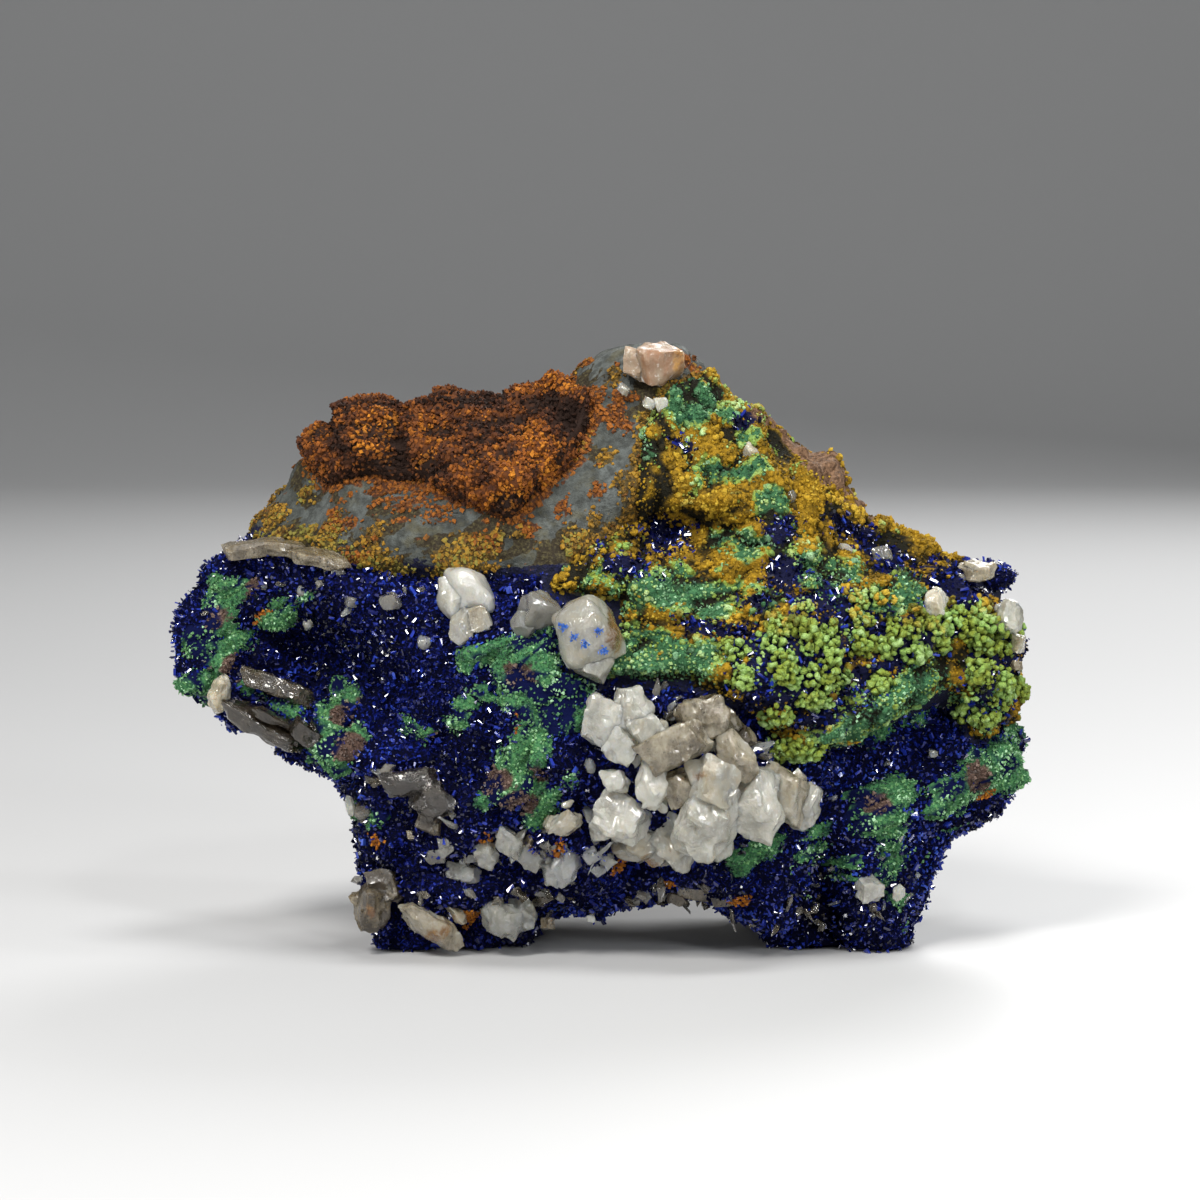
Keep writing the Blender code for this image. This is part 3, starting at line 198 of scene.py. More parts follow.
# Calcite and quartz, one solid for each group that grew together. Each crystal: across, up, how far its
# middle stands out of the crust, width, height, thickness, tilt to the right, and its habit.
CRYSTALS = {
    "calcite_upper": (
        (-12.8, 37.2, 0.9, 6, 4.4, 4.2, 24, "lump"), (-14.6, 36.4, 0.4, 2.6, 4.6, 2.8, -20, "lump"),
        (-13.6, 33.9, 0.2, 2.4, 3.8, 2.2, 10, "prism"), (-12, 34.6, 0.2, 2.6, 3, 2.4, -16, "block"),
    ),
    "calcite_round": (
        (-1.2, 33.6, 2, 6.6, 7.2, 6.2, 6, "lump"), (-0.6, 30.4, 1, 3.2, 3, 3, 18, "block"),
        (-2.4, 31.4, 0.8, 2.6, 3, 2.4, -20, "block"),
    ),
    "calcite_grey": (
        (-5.9, 35.4, 0.5, 3.8, 3.2, 3, 24, "block"), (-7.4, 34.2, 0.3, 2.4, 2.8, 2.2, -12, "prism"),
    ),
    "calcite_cluster": (
        (0.4, 24.6, 1.2, 3.6, 4.4, 3.4, 18, "block"), (3.2, 25.4, 1.6, 4, 5.2, 3.4, -14, "prism"),
        (4.6, 23.8, 1.4, 3, 4.4, 3, -30, "block"), (2, 22.6, 1, 3.4, 3, 3, 40, "block"),
        (5.2, 19.2, 1.4, 2.7, 5.4, 2.8, 4, "prism"), (7.4, 22.6, 1.2, 6.2, 3.6, 3.6, -32, "block"),
        (10.2, 25, 0.9, 4.6, 4.2, 3.6, -20, "block"), (13.4, 21.4, 1.2, 3.2, 5.4, 3.2, -36, "prism"),
        (11.2, 19, 1.8, 4.2, 4.6, 3.6, 16, "block"), (10.5, 15.4, 2.9, 5.6, 7.8, 4.8, 28, "prism"),
        (15.2, 16.8, 2.3, 4.6, 7, 4.2, -10, "prism"), (18.2, 17.2, 1.4, 3.6, 5, 3.4, 12, "block"),
        (20.2, 15.8, 1.4, 3.2, 4.4, 3, 22, "prism"), (7.6, 12.6, 1.8, 4, 4, 3.6, 34, "block"),
        (8.2, 18.4, 0.8, 3, 3.4, 3, -26, "block"), (5.4, 11.8, 1.2, 3.4, 3, 3.2, 20, "block"),
        (2, 15.2, 1.5, 5, 4.2, 3.4, 30, "block"), (3.6, 12.2, 1.5, 4.8, 3.2, 3.4, -12, "prism"),
        (0.4, 14.5, 0.8, 2.6, 3.4, 2.6, 36, "prism"),
    ),
    "calcite_blade": (
        (-3.2, 14.5, 1, 1.8, 4.8, 2.6, 52, "blade"), (-4.6, 14.4, 0.5, 1.4, 2.8, 2, 30, "blade"),
    ),
    "calcite_small_block": ((1.5, 18.9, 0.9, 2.2, 2.2, 2.4, -8, "block"),),
    "calcite_clear": (
        (-3.3, 10.1, 0.9, 2.6, 4.8, 2.6, 14, "prism"), (-4.8, 9.2, 0.5, 1.8, 3, 2, -12, "prism"),
    ),
    "calcite_glassy_low": (
        (-8.8, 12.2, 0.8, 3, 2.6, 2.4, 20, "block"), (-11.2, 11, 0.6, 2.4, 3.2, 2.2, -14, "prism"),
        (-6.6, 10.6, 0.6, 2.6, 2.4, 2.2, 40, "block"),
    ),
    "calcite_brown_ledge": (
        (-18.6, 18.2, 0.8, 5.4, 2.6, 3.2, -10, "block"), (-16.6, 16.4, 0.8, 3.6, 3.4, 3, 26, "block"),
    ),
    "cavity_shelf_calcite": (
        (-32.2, 26.5, 0.3, 7.4, 2, 4.4, 20, "block"), (-33.4, 22.9, 0.9, 9.2, 2.1, 4.8, 26, "block"),
        (-29.4, 22.4, 0.7, 3.6, 1.8, 3.4, 34, "block"),
    ),
    "cream_crystal_left": ((-38.3, 25.8, 0.8, 2.2, 4, 2.8, 8, "prism"),),
    "quartz_slab_left": (
        (-34.8, 40.6, 0.4, 6.8, 1.7, 4.2, -8, "block"), (-28, 40, 0.3, 6.2, 1.4, 4, 10, "block"),
        (-31.6, 40.8, 0.4, 4.6, 1.5, 5, 4, "block"),
    ),
    "peak_crystal": (
        (5.8, 59.2, 0, 5, 3.6, 4.4, -6, "block"), (3.8, 59, 0, 2.4, 3, 4.2, 12, "block"),
    ),
    "calcite_right_small": ((33.5, 35.4, 1.2, 2.1, 3.4, 2.4, 4, "prism"),),
    "calcite_right_corner": ((41.2, 33.6, 1.6, 2.8, 3.6, 3.4, -12, "prism"),),
    "calcite_right_top": ((38.2, 38.3, 0.5, 3.2, 1.8, 2.6, 4, "block"),),
    "lump_crystal": ((26.8, 7, 0.9, 2.6, 2.3, 2.4, 10, "block"),),
    "brown_foot": (
        (-22.8, 5, 0.6, 3.4, 4.8, 3.6, 12, "block"), (-21.6, 7, 0.6, 3, 3.4, 3, -18, "block"),
    ),
    "cream_foot": (
        (-16.9, 3.2, 1.2, 2.4, 7.8, 4, -52, "prism"), (-14.6, 4.9, 0.5, 1.3, 5.4, 3.2, -36, "blade"),
    ),
    "clear_foot": (
        (-9.6, 3.9, 1.2, 3.4, 5, 3.6, -58, "prism"), (-7.6, 4.4, 0.6, 2.4, 3.2, 2.6, -20, "prism"),
    ),
}


# ---- Repeatable noise ----
# A seed is a whole number that only picks which pattern of chance a noise or a random draw gives.
CELL_FACTORS, SEED_FACTOR = (73856093, 19349663, 83492791), 265443576
ALL_BITS, LAST_SHIFT = 0xFFFFFFFF, 16
STIRS = ((15, 739982445), (13, 695872825))  # shifts and factors that spread each bit over the whole number


def lattice_value(cell, seed):
    """One repeatable number from 0 to 1 for each whole-numbered cell of space: the cell's three numbers and
    the seed, stirred together bit by bit."""
    stirred = np.bitwise_xor.reduce(np.asarray(cell, np.int64) * CELL_FACTORS, axis=-1) ^ seed * SEED_FACTOR
    stirred = stirred & ALL_BITS
    for shift, factor in STIRS:
        stirred = ((stirred ^ (stirred >> shift)) * factor) & ALL_BITS
    return (stirred ^ (stirred >> LAST_SHIFT)) / ALL_BITS


def smooth_noise(points, size, seed):
    """Value noise from -1 to 1: lattice numbers a step of size apart, blended with a smooth step."""
    scaled = np.asarray(points, float) / size
    cell = np.floor(scaled)
    part = scaled - cell
    part = part * part * (3 - 2 * part)
    total = np.zeros(len(scaled))
    for corner in np.ndindex(2, 2, 2):
        weight = np.prod(np.where(corner, part, 1 - part), axis=1)
        total += weight * lattice_value(cell + corner, seed)
    return 2 * total - 1


def lumps(points, size, seed):
    """Rounded lumps from 0 to about 1 with creases between: the size of a noise that passes through zero."""
    return np.abs(smooth_noise(points, size, seed)) + 0.4 * np.abs(smooth_noise(points, size / 2, seed + 1))


def rough_noise(points, size, octaves, seed):
    """Fractal noise: each octave has half the size and half the height of the last."""
    return sum(smooth_noise(points, size / 2**k, seed + k) / 2**k for k in range(octaves))


def clumped(points, size, low, high, seed, octaves=3):
    """1 in clumps about the size across and 0 between them: rough noise through a smooth step."""
    return smooth_step(low, high, rough_noise(points, size, octaves, seed))


# ---- Plane geometry ----
def smooth_step(low, high, value):
    """0 below low, 1 above high, and a smooth ramp between."""
    t = np.clip((value - low) / (high - low), 0, 1)
    return t * t * (3 - 2 * t)


def mound(across, up, shape):
    """A Gaussian hump of height 1 over a tilted ellipse (across, up, half width, half height, tilt)."""
    turn = math.radians(shape[4])
    dx, dz = across - shape[0], up - shape[1]
    along = (dx * math.cos(turn) + dz * math.sin(turn)) / shape[2]
    over = (dz * math.cos(turn) - dx * math.sin(turn)) / shape[3]
    return np.exp(-(along**2 + over**2))


def inside_ellipse(across, up, shape):
    """About the distance inside a tilted ellipse, in millimetres: positive within, negative outside."""
    return (1 - np.sqrt(-np.log(np.maximum(mound(across, up, shape), 1e-30)))) * min(shape[2], shape[3])


def inside_outline(across, up, outline):
    """Distance inside a closed outline, positive within, from the nearest edge and a crossing count."""
    nearest = np.full(len(across), 1e9)
    crossings = np.zeros(len(across), int)
    for (ax, az), (bx, bz) in zip(outline, outline[1:] + outline[:1]):
        ex, ez = bx - ax, bz - az
        t = np.clip(((across - ax) * ex + (up - az) * ez) / (ex * ex + ez * ez), 0, 1)
        nearest = np.minimum(nearest, np.hypot(across - ax - t * ex, up - az - t * ez))
        if az != bz:
            spans = (az > up) != (bz > up)
            crossings += spans & (across < ax + (up - az) / (bz - az) * ex)
    return np.where(crossings % 2 == 1, nearest, -nearest)


# ---- The rock's form ----
def grid_quads(index):
    """The quads between the neighbours in a grid of point numbers."""
    return np.stack([index[:-1, :-1], index[1:, :-1], index[1:, 1:], index[:-1, 1:]], axis=-1).reshape(-1, 4)


def pillow_grid(cells):
    """The pillow's grid: for each vertex its bearing in the front view and its polar angle from the front
    middle (0) over the rim (a right angle) to the back middle (pi), and the quads that join them."""
    line = np.linspace(-1, 1, cells + 1)
    a, b = (m.ravel() for m in np.meshgrid(line, line, indexing="ij"))
    ring = np.maximum(abs(a), abs(b))
    wide = abs(a) >= abs(b)
    signed = np.where(wide, a, b)
    safe = np.where(ring > 0, signed, 1)
    bearing = np.where(wide, math.pi / 4 * b / safe, math.pi / 2 - math.pi / 4 * a / safe)
    bearing = np.where(signed < 0, bearing + math.pi, bearing)
    index = np.arange((cells + 1) ** 2).reshape(cells + 1, cells + 1)
    rim = ring == 1
    behind = np.where(rim, index.ravel(), len(ring) + np.cumsum(~rim) - 1).reshape(index.shape)
    polar = ring * math.pi / 2
    bearing = np.concatenate([bearing, bearing[~rim]])
    polar = np.concatenate([polar, math.pi - polar[~rim]])
    return bearing, polar, np.concatenate([grid_quads(index), grid_quads(behind)[:, ::-1]])


def outline_reach(bearing, smoothing):
    """How far the outline lies from the middle at each bearing, averaged over smoothing degrees."""
    across, up = np.array(OUTLINE).T
    angle = np.arctan2(up - MIDDLE_UP, across)
    order = np.argsort(angle)
    steps = np.radians(np.arange(-180, 180, BEARING_STEP))
    reach = np.interp(steps, angle[order], np.hypot(across, up - MIDDLE_UP)[order], period=2 * math.pi)
    if smoothing:
        window = np.hanning(int(2 * smoothing / BEARING_STEP) + 1)
        ringed = np.concatenate([reach[-len(window):], reach, reach[: len(window)]])
        reach = np.convolve(ringed, window / window.sum(), "same")[len(window) : -len(window)]
    return np.interp(bearing, steps, reach, period=2 * math.pi)


def drawn_reach(bearing, inward):
    """The outline's reach, smooth over most of the face and in full detail only close to the rim."""
    soft = outline_reach(bearing, BEARING_SMOOTH)
    return soft + (outline_reach(bearing, 0) - soft) * smooth_step(*RIM_DETAIL, inward) - CRUST_ALLOWANCE


def face_depth(across, up):
    """How far the front stands out: the FACE places blended by nearness, plus every lump and hollow."""
    total, weights = np.zeros(len(across)), np.zeros(len(across))
    for x, z, depth in FACE:
        weight = np.exp(-((across - x) ** 2 + (up - z) ** 2) / (2 * FACE_SPREAD**2)) + 1e-9
        total += weight * depth
        weights += weight
    depth = total / weights
    for *shape, height in RELIEF.values():
        depth += height * mound(across, up, shape)
    return depth


def outward(bearing, polar):
    """The way a crust thickens: the normal of an ellipsoid about as wide, deep and tall as the rock."""
    flat = np.sin(polar) ** 2
    across, up = flat * np.cos(bearing) / HALF_WIDTH, flat * np.sin(bearing) / HALF_HEIGHT
    way = np.stack([across, -np.cos(polar) / HALF_DEPTH, up], axis=1)
    return way / np.linalg.norm(way, axis=1, keepdims=True)


def squared_turn(polar, squareness):
    """A superellipse's radial and axial reach at a polar angle: a squareness of 2 is a circle, and more
    makes a box with rounded corners."""
    radial, axial = np.sin(polar), np.abs(np.cos(polar))
    size = (radial**squareness + axial**squareness) ** (-1 / squareness)
    return radial * size, axial * size


def squareness_at(bearing):
    """How squarely the rock turns at its rim at each bearing: most of all underneath."""
    return SQUARE_SIDE + (SQUARE_UNDER - SQUARE_SIDE) * smooth_step(-0.30, -0.80, np.sin(bearing))


def rock_form(bearing, polar):
    """The rock's surface: the outline drawn in towards the middle as the depth rises, in front to the face
    and behind to the broken rear, round a turn that is squarest underneath. Breaks and noise follow."""
    inward, arch = squared_turn(polar, squareness_at(bearing))
    reach = drawn_reach(bearing, inward)
    across = reach * inward * np.cos(bearing)
    up = MIDDLE_UP + reach * inward * np.sin(bearing)
    depth = np.where(np.cos(polar) >= 0, -arch * face_depth(across, up), arch * BACK_DEPTH)
    points = broken(settled(np.stack([across, depth, up], axis=1)))
    points += outward(bearing, polar) * unevenness(points)[:, None]
    points[:, 2] = np.maximum(points[:, 2], 0)
    return points


def settled(points):
    """Draws the underside down to the resting plane along two rails, with a low arch between them."""
    across, depth, up = points.T
    rail = sum(smooth_step(*edges[:2], across) * smooth_step(*edges[2:], across) for edges in RAILS)
    low = smooth_step(18.0, 5.0, up) * smooth_step(-11.0, -6.0, depth)
    lowered = points.copy()
    lowered[:, 2] -= low * REAR_DROP * rail
    return lowered


def broken(points):
    """Presses the rear half onto the flat BREAKS: planes, each some way off the middle."""
    behind = smooth_step(-3.0, 4.0, points[:, 1])
    for facing, distance in BREAKS:
        facing = np.array(facing) / np.linalg.norm(facing)
        beyond = np.maximum((points - [0, 0, MIDDLE_UP]) @ facing - distance, 0)
        points = points - (beyond * behind * BREAK_FLATNESS)[:, None] * facing
    return points


def unevenness(points):
    """Unevenness all over the rock, with ledges on the broken back."""
    back = smooth_step(1.0, 7.0, points[:, 1])
    ledges = np.abs(smooth_noise(points * [1.0, 1.0, 1.8], 12.0, seed=23))
    return 0.9 * rough_noise(points, 9.0, 3, seed=11) + back * (2.4 * ledges - 0.8)


def polar_at(across, up):
    """The bearing and polar angle of the front face at places across and up, by repeated halving. A place
    at the rim or past it gives the face just inside the rim."""
    bearing = np.arctan2(up - MIDDLE_UP, across)
    rim = drawn_reach(bearing, np.ones_like(bearing))
    away = np.minimum(np.hypot(across, up - MIDDLE_UP), RIM_MARGIN * rim)
    squareness = squareness_at(bearing)
    low, high = np.zeros_like(away), np.full_like(away, math.pi / 2)
    for _ in range(HALVINGS):
        middle = (low + high) / 2
        inward, _arch = squared_turn(middle, squareness)
        beyond = drawn_reach(bearing, inward) * inward > away
        low, high = np.where(beyond, low, middle), np.where(beyond, middle, high)
    return bearing, (low + high) / 2


# ---- Crusts ----
def crust_areas(points, polar):
    """For each named crust, how far inside its area each point lies, in millimetres, on the rock's front."""
    across, up = points[:, 0], points[:, 2]
    wander = 0.9 * rough_noise(points, 6.0, 2, seed=41)
    behind = np.maximum(points[:, 1], 0) * (polar > math.pi / 2)
    rust, green = (
        inside_outline(across, up, outline) - behind + wander for outline in (RUST_OUTLINE, GREEN_OUTLINE)
    )
    top = np.interp(across, *np.array(AZURITE_TOP, float).T)
    azurite = np.minimum(top - up, AZURITE_BACK_REACH - points[:, 1]) + wander
    azurite = np.minimum(azurite, up + FOOT_COVER)
    azurite = np.minimum(azurite, -green - CRUST_SPACE)
    return {"rust": rust, "green": np.minimum(green, -rust - CRUST_SPACE), "azurite": azurite}


def seat_depth(across, up, stand_out):
    """How deep the place lies that stands a distance out of the crust's face at (across, up)."""
    bearing, polar = polar_at(np.array([float(across)]), np.array([float(up)]))
    return (rock_form(bearing, polar) + outward(bearing, polar) * (SEAT_DEPTH + stand_out))[0, 1]


# ---- Meshes ----
class Sheet(NamedTuple):
    """A triangle mesh with the way it faces at each point, and how far out of the creases each point lies,
    from 0 to 1."""

    points: np.ndarray
    ways: np.ndarray
    faces: np.ndarray
    crown: np.ndarray


class Rock(NamedTuple):
    """The fine grid over the whole rock, the way a crust thickens at each point, and how far each point lies
    inside each crust's area."""

    points: np.ndarray
    ways: np.ndarray
    quads: np.ndarray
    areas: dict


class Spots(NamedTuple):
    """Places on a mesh: each has the three corners round it and its share of each."""

    corners: np.ndarray
    shares: np.ndarray

    def read(self, values):
        """What the values at the corners come to at each place."""
        shares = self.shares if values.ndim == 1 else self.shares[..., None]
        return (values[self.corners] * shares).sum(axis=1)


def unit(vectors):
    """The vectors with a length of 1."""
    return vectors / np.maximum(np.linalg.norm(vectors, axis=-1, keepdims=True), 1e-12)


def triangles(quads):
    """Each quad as two triangles."""
    return np.concatenate([quads[:, [0, 1, 2]], quads[:, [0, 2, 3]]])


def facing(points, faces):
    """Each point's way out: the mean of its triangles' normals, weighted by their areas."""
    a, b, c = (points[faces[:, k]] for k in range(3))
    normal = np.cross(b - a, c - a)
    total = np.zeros_like(points)
    for k in range(3):
        np.add.at(total, faces[:, k], normal)
    return unit(total)


def border_edges(tris):
    """The directed edges of the triangles that no other triangle runs back along."""
    edges = np.concatenate([tris[:, [k, (k + 1) % 3]] for k in range(3)])
    size = int(tris.max()) + 1
    along, back = edges[:, 0] * size + edges[:, 1], edges[:, 1] * size + edges[:, 0]
    return edges[~np.isin(along, back)]


@functools.lru_cache
def fine_rock(cells):
    """The rock's form on a fine grid, with grit finer than the CAD's cells."""
    bearing, polar, quads = pillow_grid(cells)
    points = rock_form(bearing, polar)
    ways = outward(bearing, polar)
    areas = crust_areas(points, polar)
    broken_side = smooth_step(0.0, 6.0, points[:, 1])
    grit = 0.20 * rough_noise(points, 2.2, 3, seed=12)
    grit = grit + 0.22 * broken_side * rough_noise(points, 2.6, 3, seed=14)
    grit = grit - 0.5 * np.abs(smooth_noise(points, 5.0, seed=15))
    points = points + ways * grit[:, None]
    points[:, 2] = np.maximum(points[:, 2], 0)
    return Rock(points, ways, quads, areas)


@functools.lru_cache
def slide_to_frame():
    """How far sideways the packed rock lies from the form in this file: the CAD centres all its pieces."""
    bearing, polar, _quads = pillow_grid(CAD_CELLS)
    points = rock_form(bearing, polar)
    low, high = (np.array(corner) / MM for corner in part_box("host_rock"))
    slide = (low + high) / 2 - (points.min(axis=0) + points.max(axis=0)) / 2
    if np.abs((high - low) - np.ptp(points, axis=0)).max() > FORM_TOLERANCE:
        raise RuntimeError("the packed rock isn't the form in this file")
    slide[2] = 0
    return slide


def make_piece(name, points, faces, material, smooth=False, edge=None, **values):
    """Puts triangles and their values into a mesh object that rides with the specimen. Where an edge angle is
    given, sharper edges are shaded as sharp."""
    mesh = bpy.data.meshes.new(name)
    mesh.vertices.add(len(points))
    mesh.vertices.foreach_set("co", ((points + slide_to_frame()) * MM).astype(np.float32).ravel())
    mesh.loops.add(faces.size)
    mesh.loops.foreach_set("vertex_index", faces.astype(np.int32).ravel())
    mesh.polygons.add(len(faces))
    mesh.polygons.foreach_set("loop_start", np.arange(0, faces.size, 3, dtype=np.int32))
    mesh.polygons.foreach_set("use_smooth", np.full(len(faces), smooth))
    mesh.update(calc_edges=True)
    if edge is not None:
        mesh.set_sharp_from_angle(angle=edge)
    for title, value in values.items():
        attribute = mesh.attributes.new(title, "FLOAT", "POINT")
        attribute.data.foreach_set("value", np.asarray(value, np.float32))
    mesh.materials.append(material)
    made = bpy.data.objects.new(name, mesh)
    bpy.context.scene.collection.objects.link(made)
    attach(made, "root")
    return made


def closed_sheet(outer, inner, tris):
    """A closed solid from an outer and an inner face over the same triangles, with a wall round the border.
    Returns its points and triangles, and which points the outer face kept."""
    used = np.unique(tris)
    slot = np.full(len(outer), -1)
    slot[used] = np.arange(len(used))
    face = slot[tris]
    more = len(used)
    a, b = border_edges(face).T
    wall = [np.stack([b, a, a + more], axis=1), np.stack([b, a + more, b + more], axis=1)]
    points = np.concatenate([outer[used], inner[used]])
    return points, np.concatenate([face, face[:, ::-1] + more, *wall]), used


def crust_bed(rock, inside, height, crown):
    """A closed crust over the quads of the rock that lie inside its area. Its outer face starts a little
    under the rock's and rises to its full height over BED_RISE. Returns the crust's points and triangles,
    its outer face alone, and how far inside the area each point of that face lies."""
    tris = triangles(rock.quads[inside[rock.quads].max(axis=1) > 0])
    level = -BED_SINK + (height + BED_SINK) * smooth_step(0, BED_RISE, inside)
    outer = rock.points + rock.ways * level[:, None]
    outer[:, 2] = np.maximum(outer[:, 2], LOWEST_BED)
    points, faces, used = closed_sheet(outer, rock.points - rock.ways * BED_DEPTH, tris)
    face = points[: len(used)]
    front = faces[: len(tris)]
    return points, faces, Sheet(face, facing(face, front), front, crown[used]), inside[used]


def scattered(sheet, spacing, seed, weight=None):
    """Places all over a sheet, at most one in each cube of space whose side is the spacing. Where a weight
    from 0 to 1 is given at the points, places come that much more seldom."""
    rng = np.random.default_rng(seed)
    a, b, c = (sheet.points[sheet.faces[:, k]] for k in range(3))
    area = np.linalg.norm(np.cross(b - a, c - a), axis=1) / 2
    if weight is not None:
        area = area * weight[sheet.faces].mean(axis=1)
    count = int(TRIES * area.sum() / spacing**2)
    chosen = rng.choice(len(area), count, p=area / area.sum())
    first, second = rng.random((2, count))
    folded = first + second > 1
    first, second = np.where(folded, 1 - first, first), np.where(folded, 1 - second, second)
    shares = np.stack([1 - first - second, first, second], axis=1)
    found = Spots(sheet.faces[chosen], shares)
    cube = np.floor(found.read(sheet.points) / spacing).astype(np.int64)
    _cubes, kept = np.unique(cube, axis=0, return_index=True)
    return Spots(found.corners[kept], shares[kept])


def frames_along(axis, spin):
    """For each axis, three square directions as rows: two across it, turned by the spin, and the axis."""
    helper = np.where(np.abs(axis[:, 2:]) < 0.9, [[0.0, 0.0, 1.0]], [[1.0, 0.0, 0.0]])
    side = unit(np.cross(helper, axis))
    other = np.cross(axis, side)
    across = side * np.cos(spin)[:, None] + other * np.sin(spin)[:, None]
    return np.stack([across, np.cross(axis, across), axis], axis=1)


def lofted(rings, corners):
    """A closed solid: a regular outline carried up through rings of (half width, half depth, height), with
    a flat end at each side."""
    angle = (np.arange(corners) + 0.5) * 2 * math.pi / corners
    rings = np.array(rings, float)
    x, y = rings[:, :1] * np.cos(angle), rings[:, 1:2] * np.sin(angle)
    points = np.stack([x, y, np.broadcast_to(rings[:, 2:], x.shape)], axis=-1).reshape(-1, 3)
    index = np.arange(len(points)).reshape(len(rings), corners)
    after = np.roll(index, -1, axis=1)
    sides = triangles(np.stack([index[:-1], after[:-1], after[1:], index[1:]], axis=-1).reshape(-1, 4))
    fan = np.stack([np.zeros(corners - 2, int), np.arange(1, corners - 1), np.arange(2, corners)], axis=1)
    return points, np.concatenate([sides, index[-1][fan], index[0][fan[:, ::-1]]])


@functools.lru_cache
def ball_grid(cells):
    """Directions all round a ball: the six sides of a cube, each a square grid even in angle, joined where
    they meet. Returns the directions and the triangles."""
    line = np.tan(np.linspace(-math.pi / 4, math.pi / 4, cells + 1))
    a, b = np.meshgrid(line, line, indexing="ij")
    sides = []
    for axis in range(3):
        for sign in (-1, 1):
            side = np.empty((*a.shape, 3))
            side[..., axis] = sign
            side[..., (axis + 1) % 3] = a * sign
            side[..., (axis + 2) % 3] = b
            sides.append(side.reshape(-1, 3))
    step = np.arange((cells + 1) ** 2).reshape(cells + 1, cells + 1)
    quads = np.concatenate([grid_quads(step) + k * (cells + 1) ** 2 for k in range(6)])
    whole = np.round(np.concatenate(sides), 9)
    joined, index = np.unique(whole, axis=0, return_inverse=True)
    return unit(joined), triangles(index.reshape(-1)[quads])


def even_directions(count, seed):
    """Directions spread evenly over a ball along a spiral, each moved a little at random."""
    rng = np.random.default_rng(seed)
    height = 1 - 2 * (np.arange(count) + 0.5) / count
    turn = np.arange(count) * math.pi * (3 - math.sqrt(5))
    flat = np.sqrt(1 - height**2)
    spiral = np.stack([flat * np.cos(turn), flat * np.sin(turn), height], axis=1)
    return unit(spiral + rng.normal(0, DIRECTION_JITTER, spiral.shape))


def crystal_faces(habit, seed):
    """A crystal's flat faces in a box of half size 1: the ways they face, and how far out each one lies.
    A prism has six sides and three slanted faces at each end, a block three pairs, a blade two broad faces
    and slanted ends, and a lump faces all round. Every crystal also has a few broken corners."""
    rng = np.random.default_rng(seed)
    turns = np.arange(6) * math.pi / 3 + rng.uniform(0, 0.5)
    if habit == "prism":
        ends = np.array([
            (0.8 * math.cos(t), 0.75 * end, 0.8 * math.sin(t)) for end in (1, -1) for t in turns[end > 0 :: 2]
        ])
        sides = np.stack([np.cos(turns), 0.06 * np.cos(turns * 2), np.sin(turns)], axis=1)
        ways = np.concatenate([sides, ends])
        reach = np.concatenate([np.full(6, 0.9), np.full(len(ends), 0.84)])
    elif habit == "block":
        lean = rng.uniform(-0.22, 0.22, 3)
        pairs = np.array([(1, lean[0], 0.1), (lean[1], 1, 0.12), (0.14, lean[2], 1)])
        ways = np.concatenate([pairs, -pairs])
        reach = np.full(6, 0.86)
    elif habit == "blade":
        ways = np.array([
            (0.3, 0.1, 1), (-0.3, 0.05, 1), (0.3, 0.1, -1), (-0.3, 0.05, -1), (1, 0.08, 0), (-1, 0.05, 0),
            (0.6, 1, 0), (-0.5, 1, 0.1), (0.5, -1, 0), (-0.6, -1, -0.1),
        ])
        reach = np.array([0.6, 0.62, 0.6, 0.62, 0.9, 0.9, 0.95, 0.95, 0.95, 0.95])
    else:
        ways = even_directions(20, seed)
        reach = rng.uniform(0.86, 1.0, 20)
    chips = even_directions(7, seed + 1)
    ways = unit(np.concatenate([ways, chips]))
    reach = np.concatenate([reach, rng.uniform(1.0, 1.16, len(chips))])
    return ways, reach * rng.uniform(0.94, 1.06, len(reach))


def crystal_form(cells, half_sizes, habit, seed):
    """A crystal as a ball pushed to its flat faces: each direction's reach is the soft least of the reaches
    to the planes of the faces, a power mean whose sharpness sets how crisp the edges are. Its faces swell
    and sink, break in shell-like hollows with sharp ridges between, and carry steps and pits of growth."""
    directions, faces = ball_grid(cells)
    ways, reach = crystal_faces(habit, seed)
    pull = np.maximum(directions @ ways.T, 0) / reach
    sharpness = LUMP_SHARPNESS if habit == "lump" else CRYSTAL_SHARPNESS
    size = (pull**sharpness).sum(axis=1) ** (-1 / sharpness)
    points = directions * size[:, None] * np.asarray(half_sizes)
    place = points + 37.0 * seed
    warp = np.stack([smooth_noise(place, WARP_SIZE, seed=seed + k) for k in (2, 3, 4)], axis=1)
    points = points + CRYSTAL_WARP * min(half_sizes) * warp
    hollows = np.abs(smooth_noise(place, 0.6 * min(half_sizes) + 0.5, seed=seed + 5))
    steps = np.round(GROWTH_STEPS * smooth_noise(place * STEP_STRETCH, STEP_SIZE, seed=seed)) / GROWTH_STEPS
    pits = np.minimum(smooth_noise(place, PIT_SIZE, seed=seed + 1) + PIT_SHARE, 0)
    relief = 1 - CRYSTAL_HOLLOW * hollows + STEP_RISE * steps + PIT_DEPTH * pits
    return points * relief[:, None], faces


def weathered(points, faces, size, depth):
    """Lumps, creases and fine grit over crystals where they stand, so that neighbours weather as one mass."""
    swell = depth * (0.45 - lumps(points, size, 551)) + 0.3 * depth * smooth_noise(points, 0.4 * size, 553)
    return points + facing(points, faces) * swell[:, None]


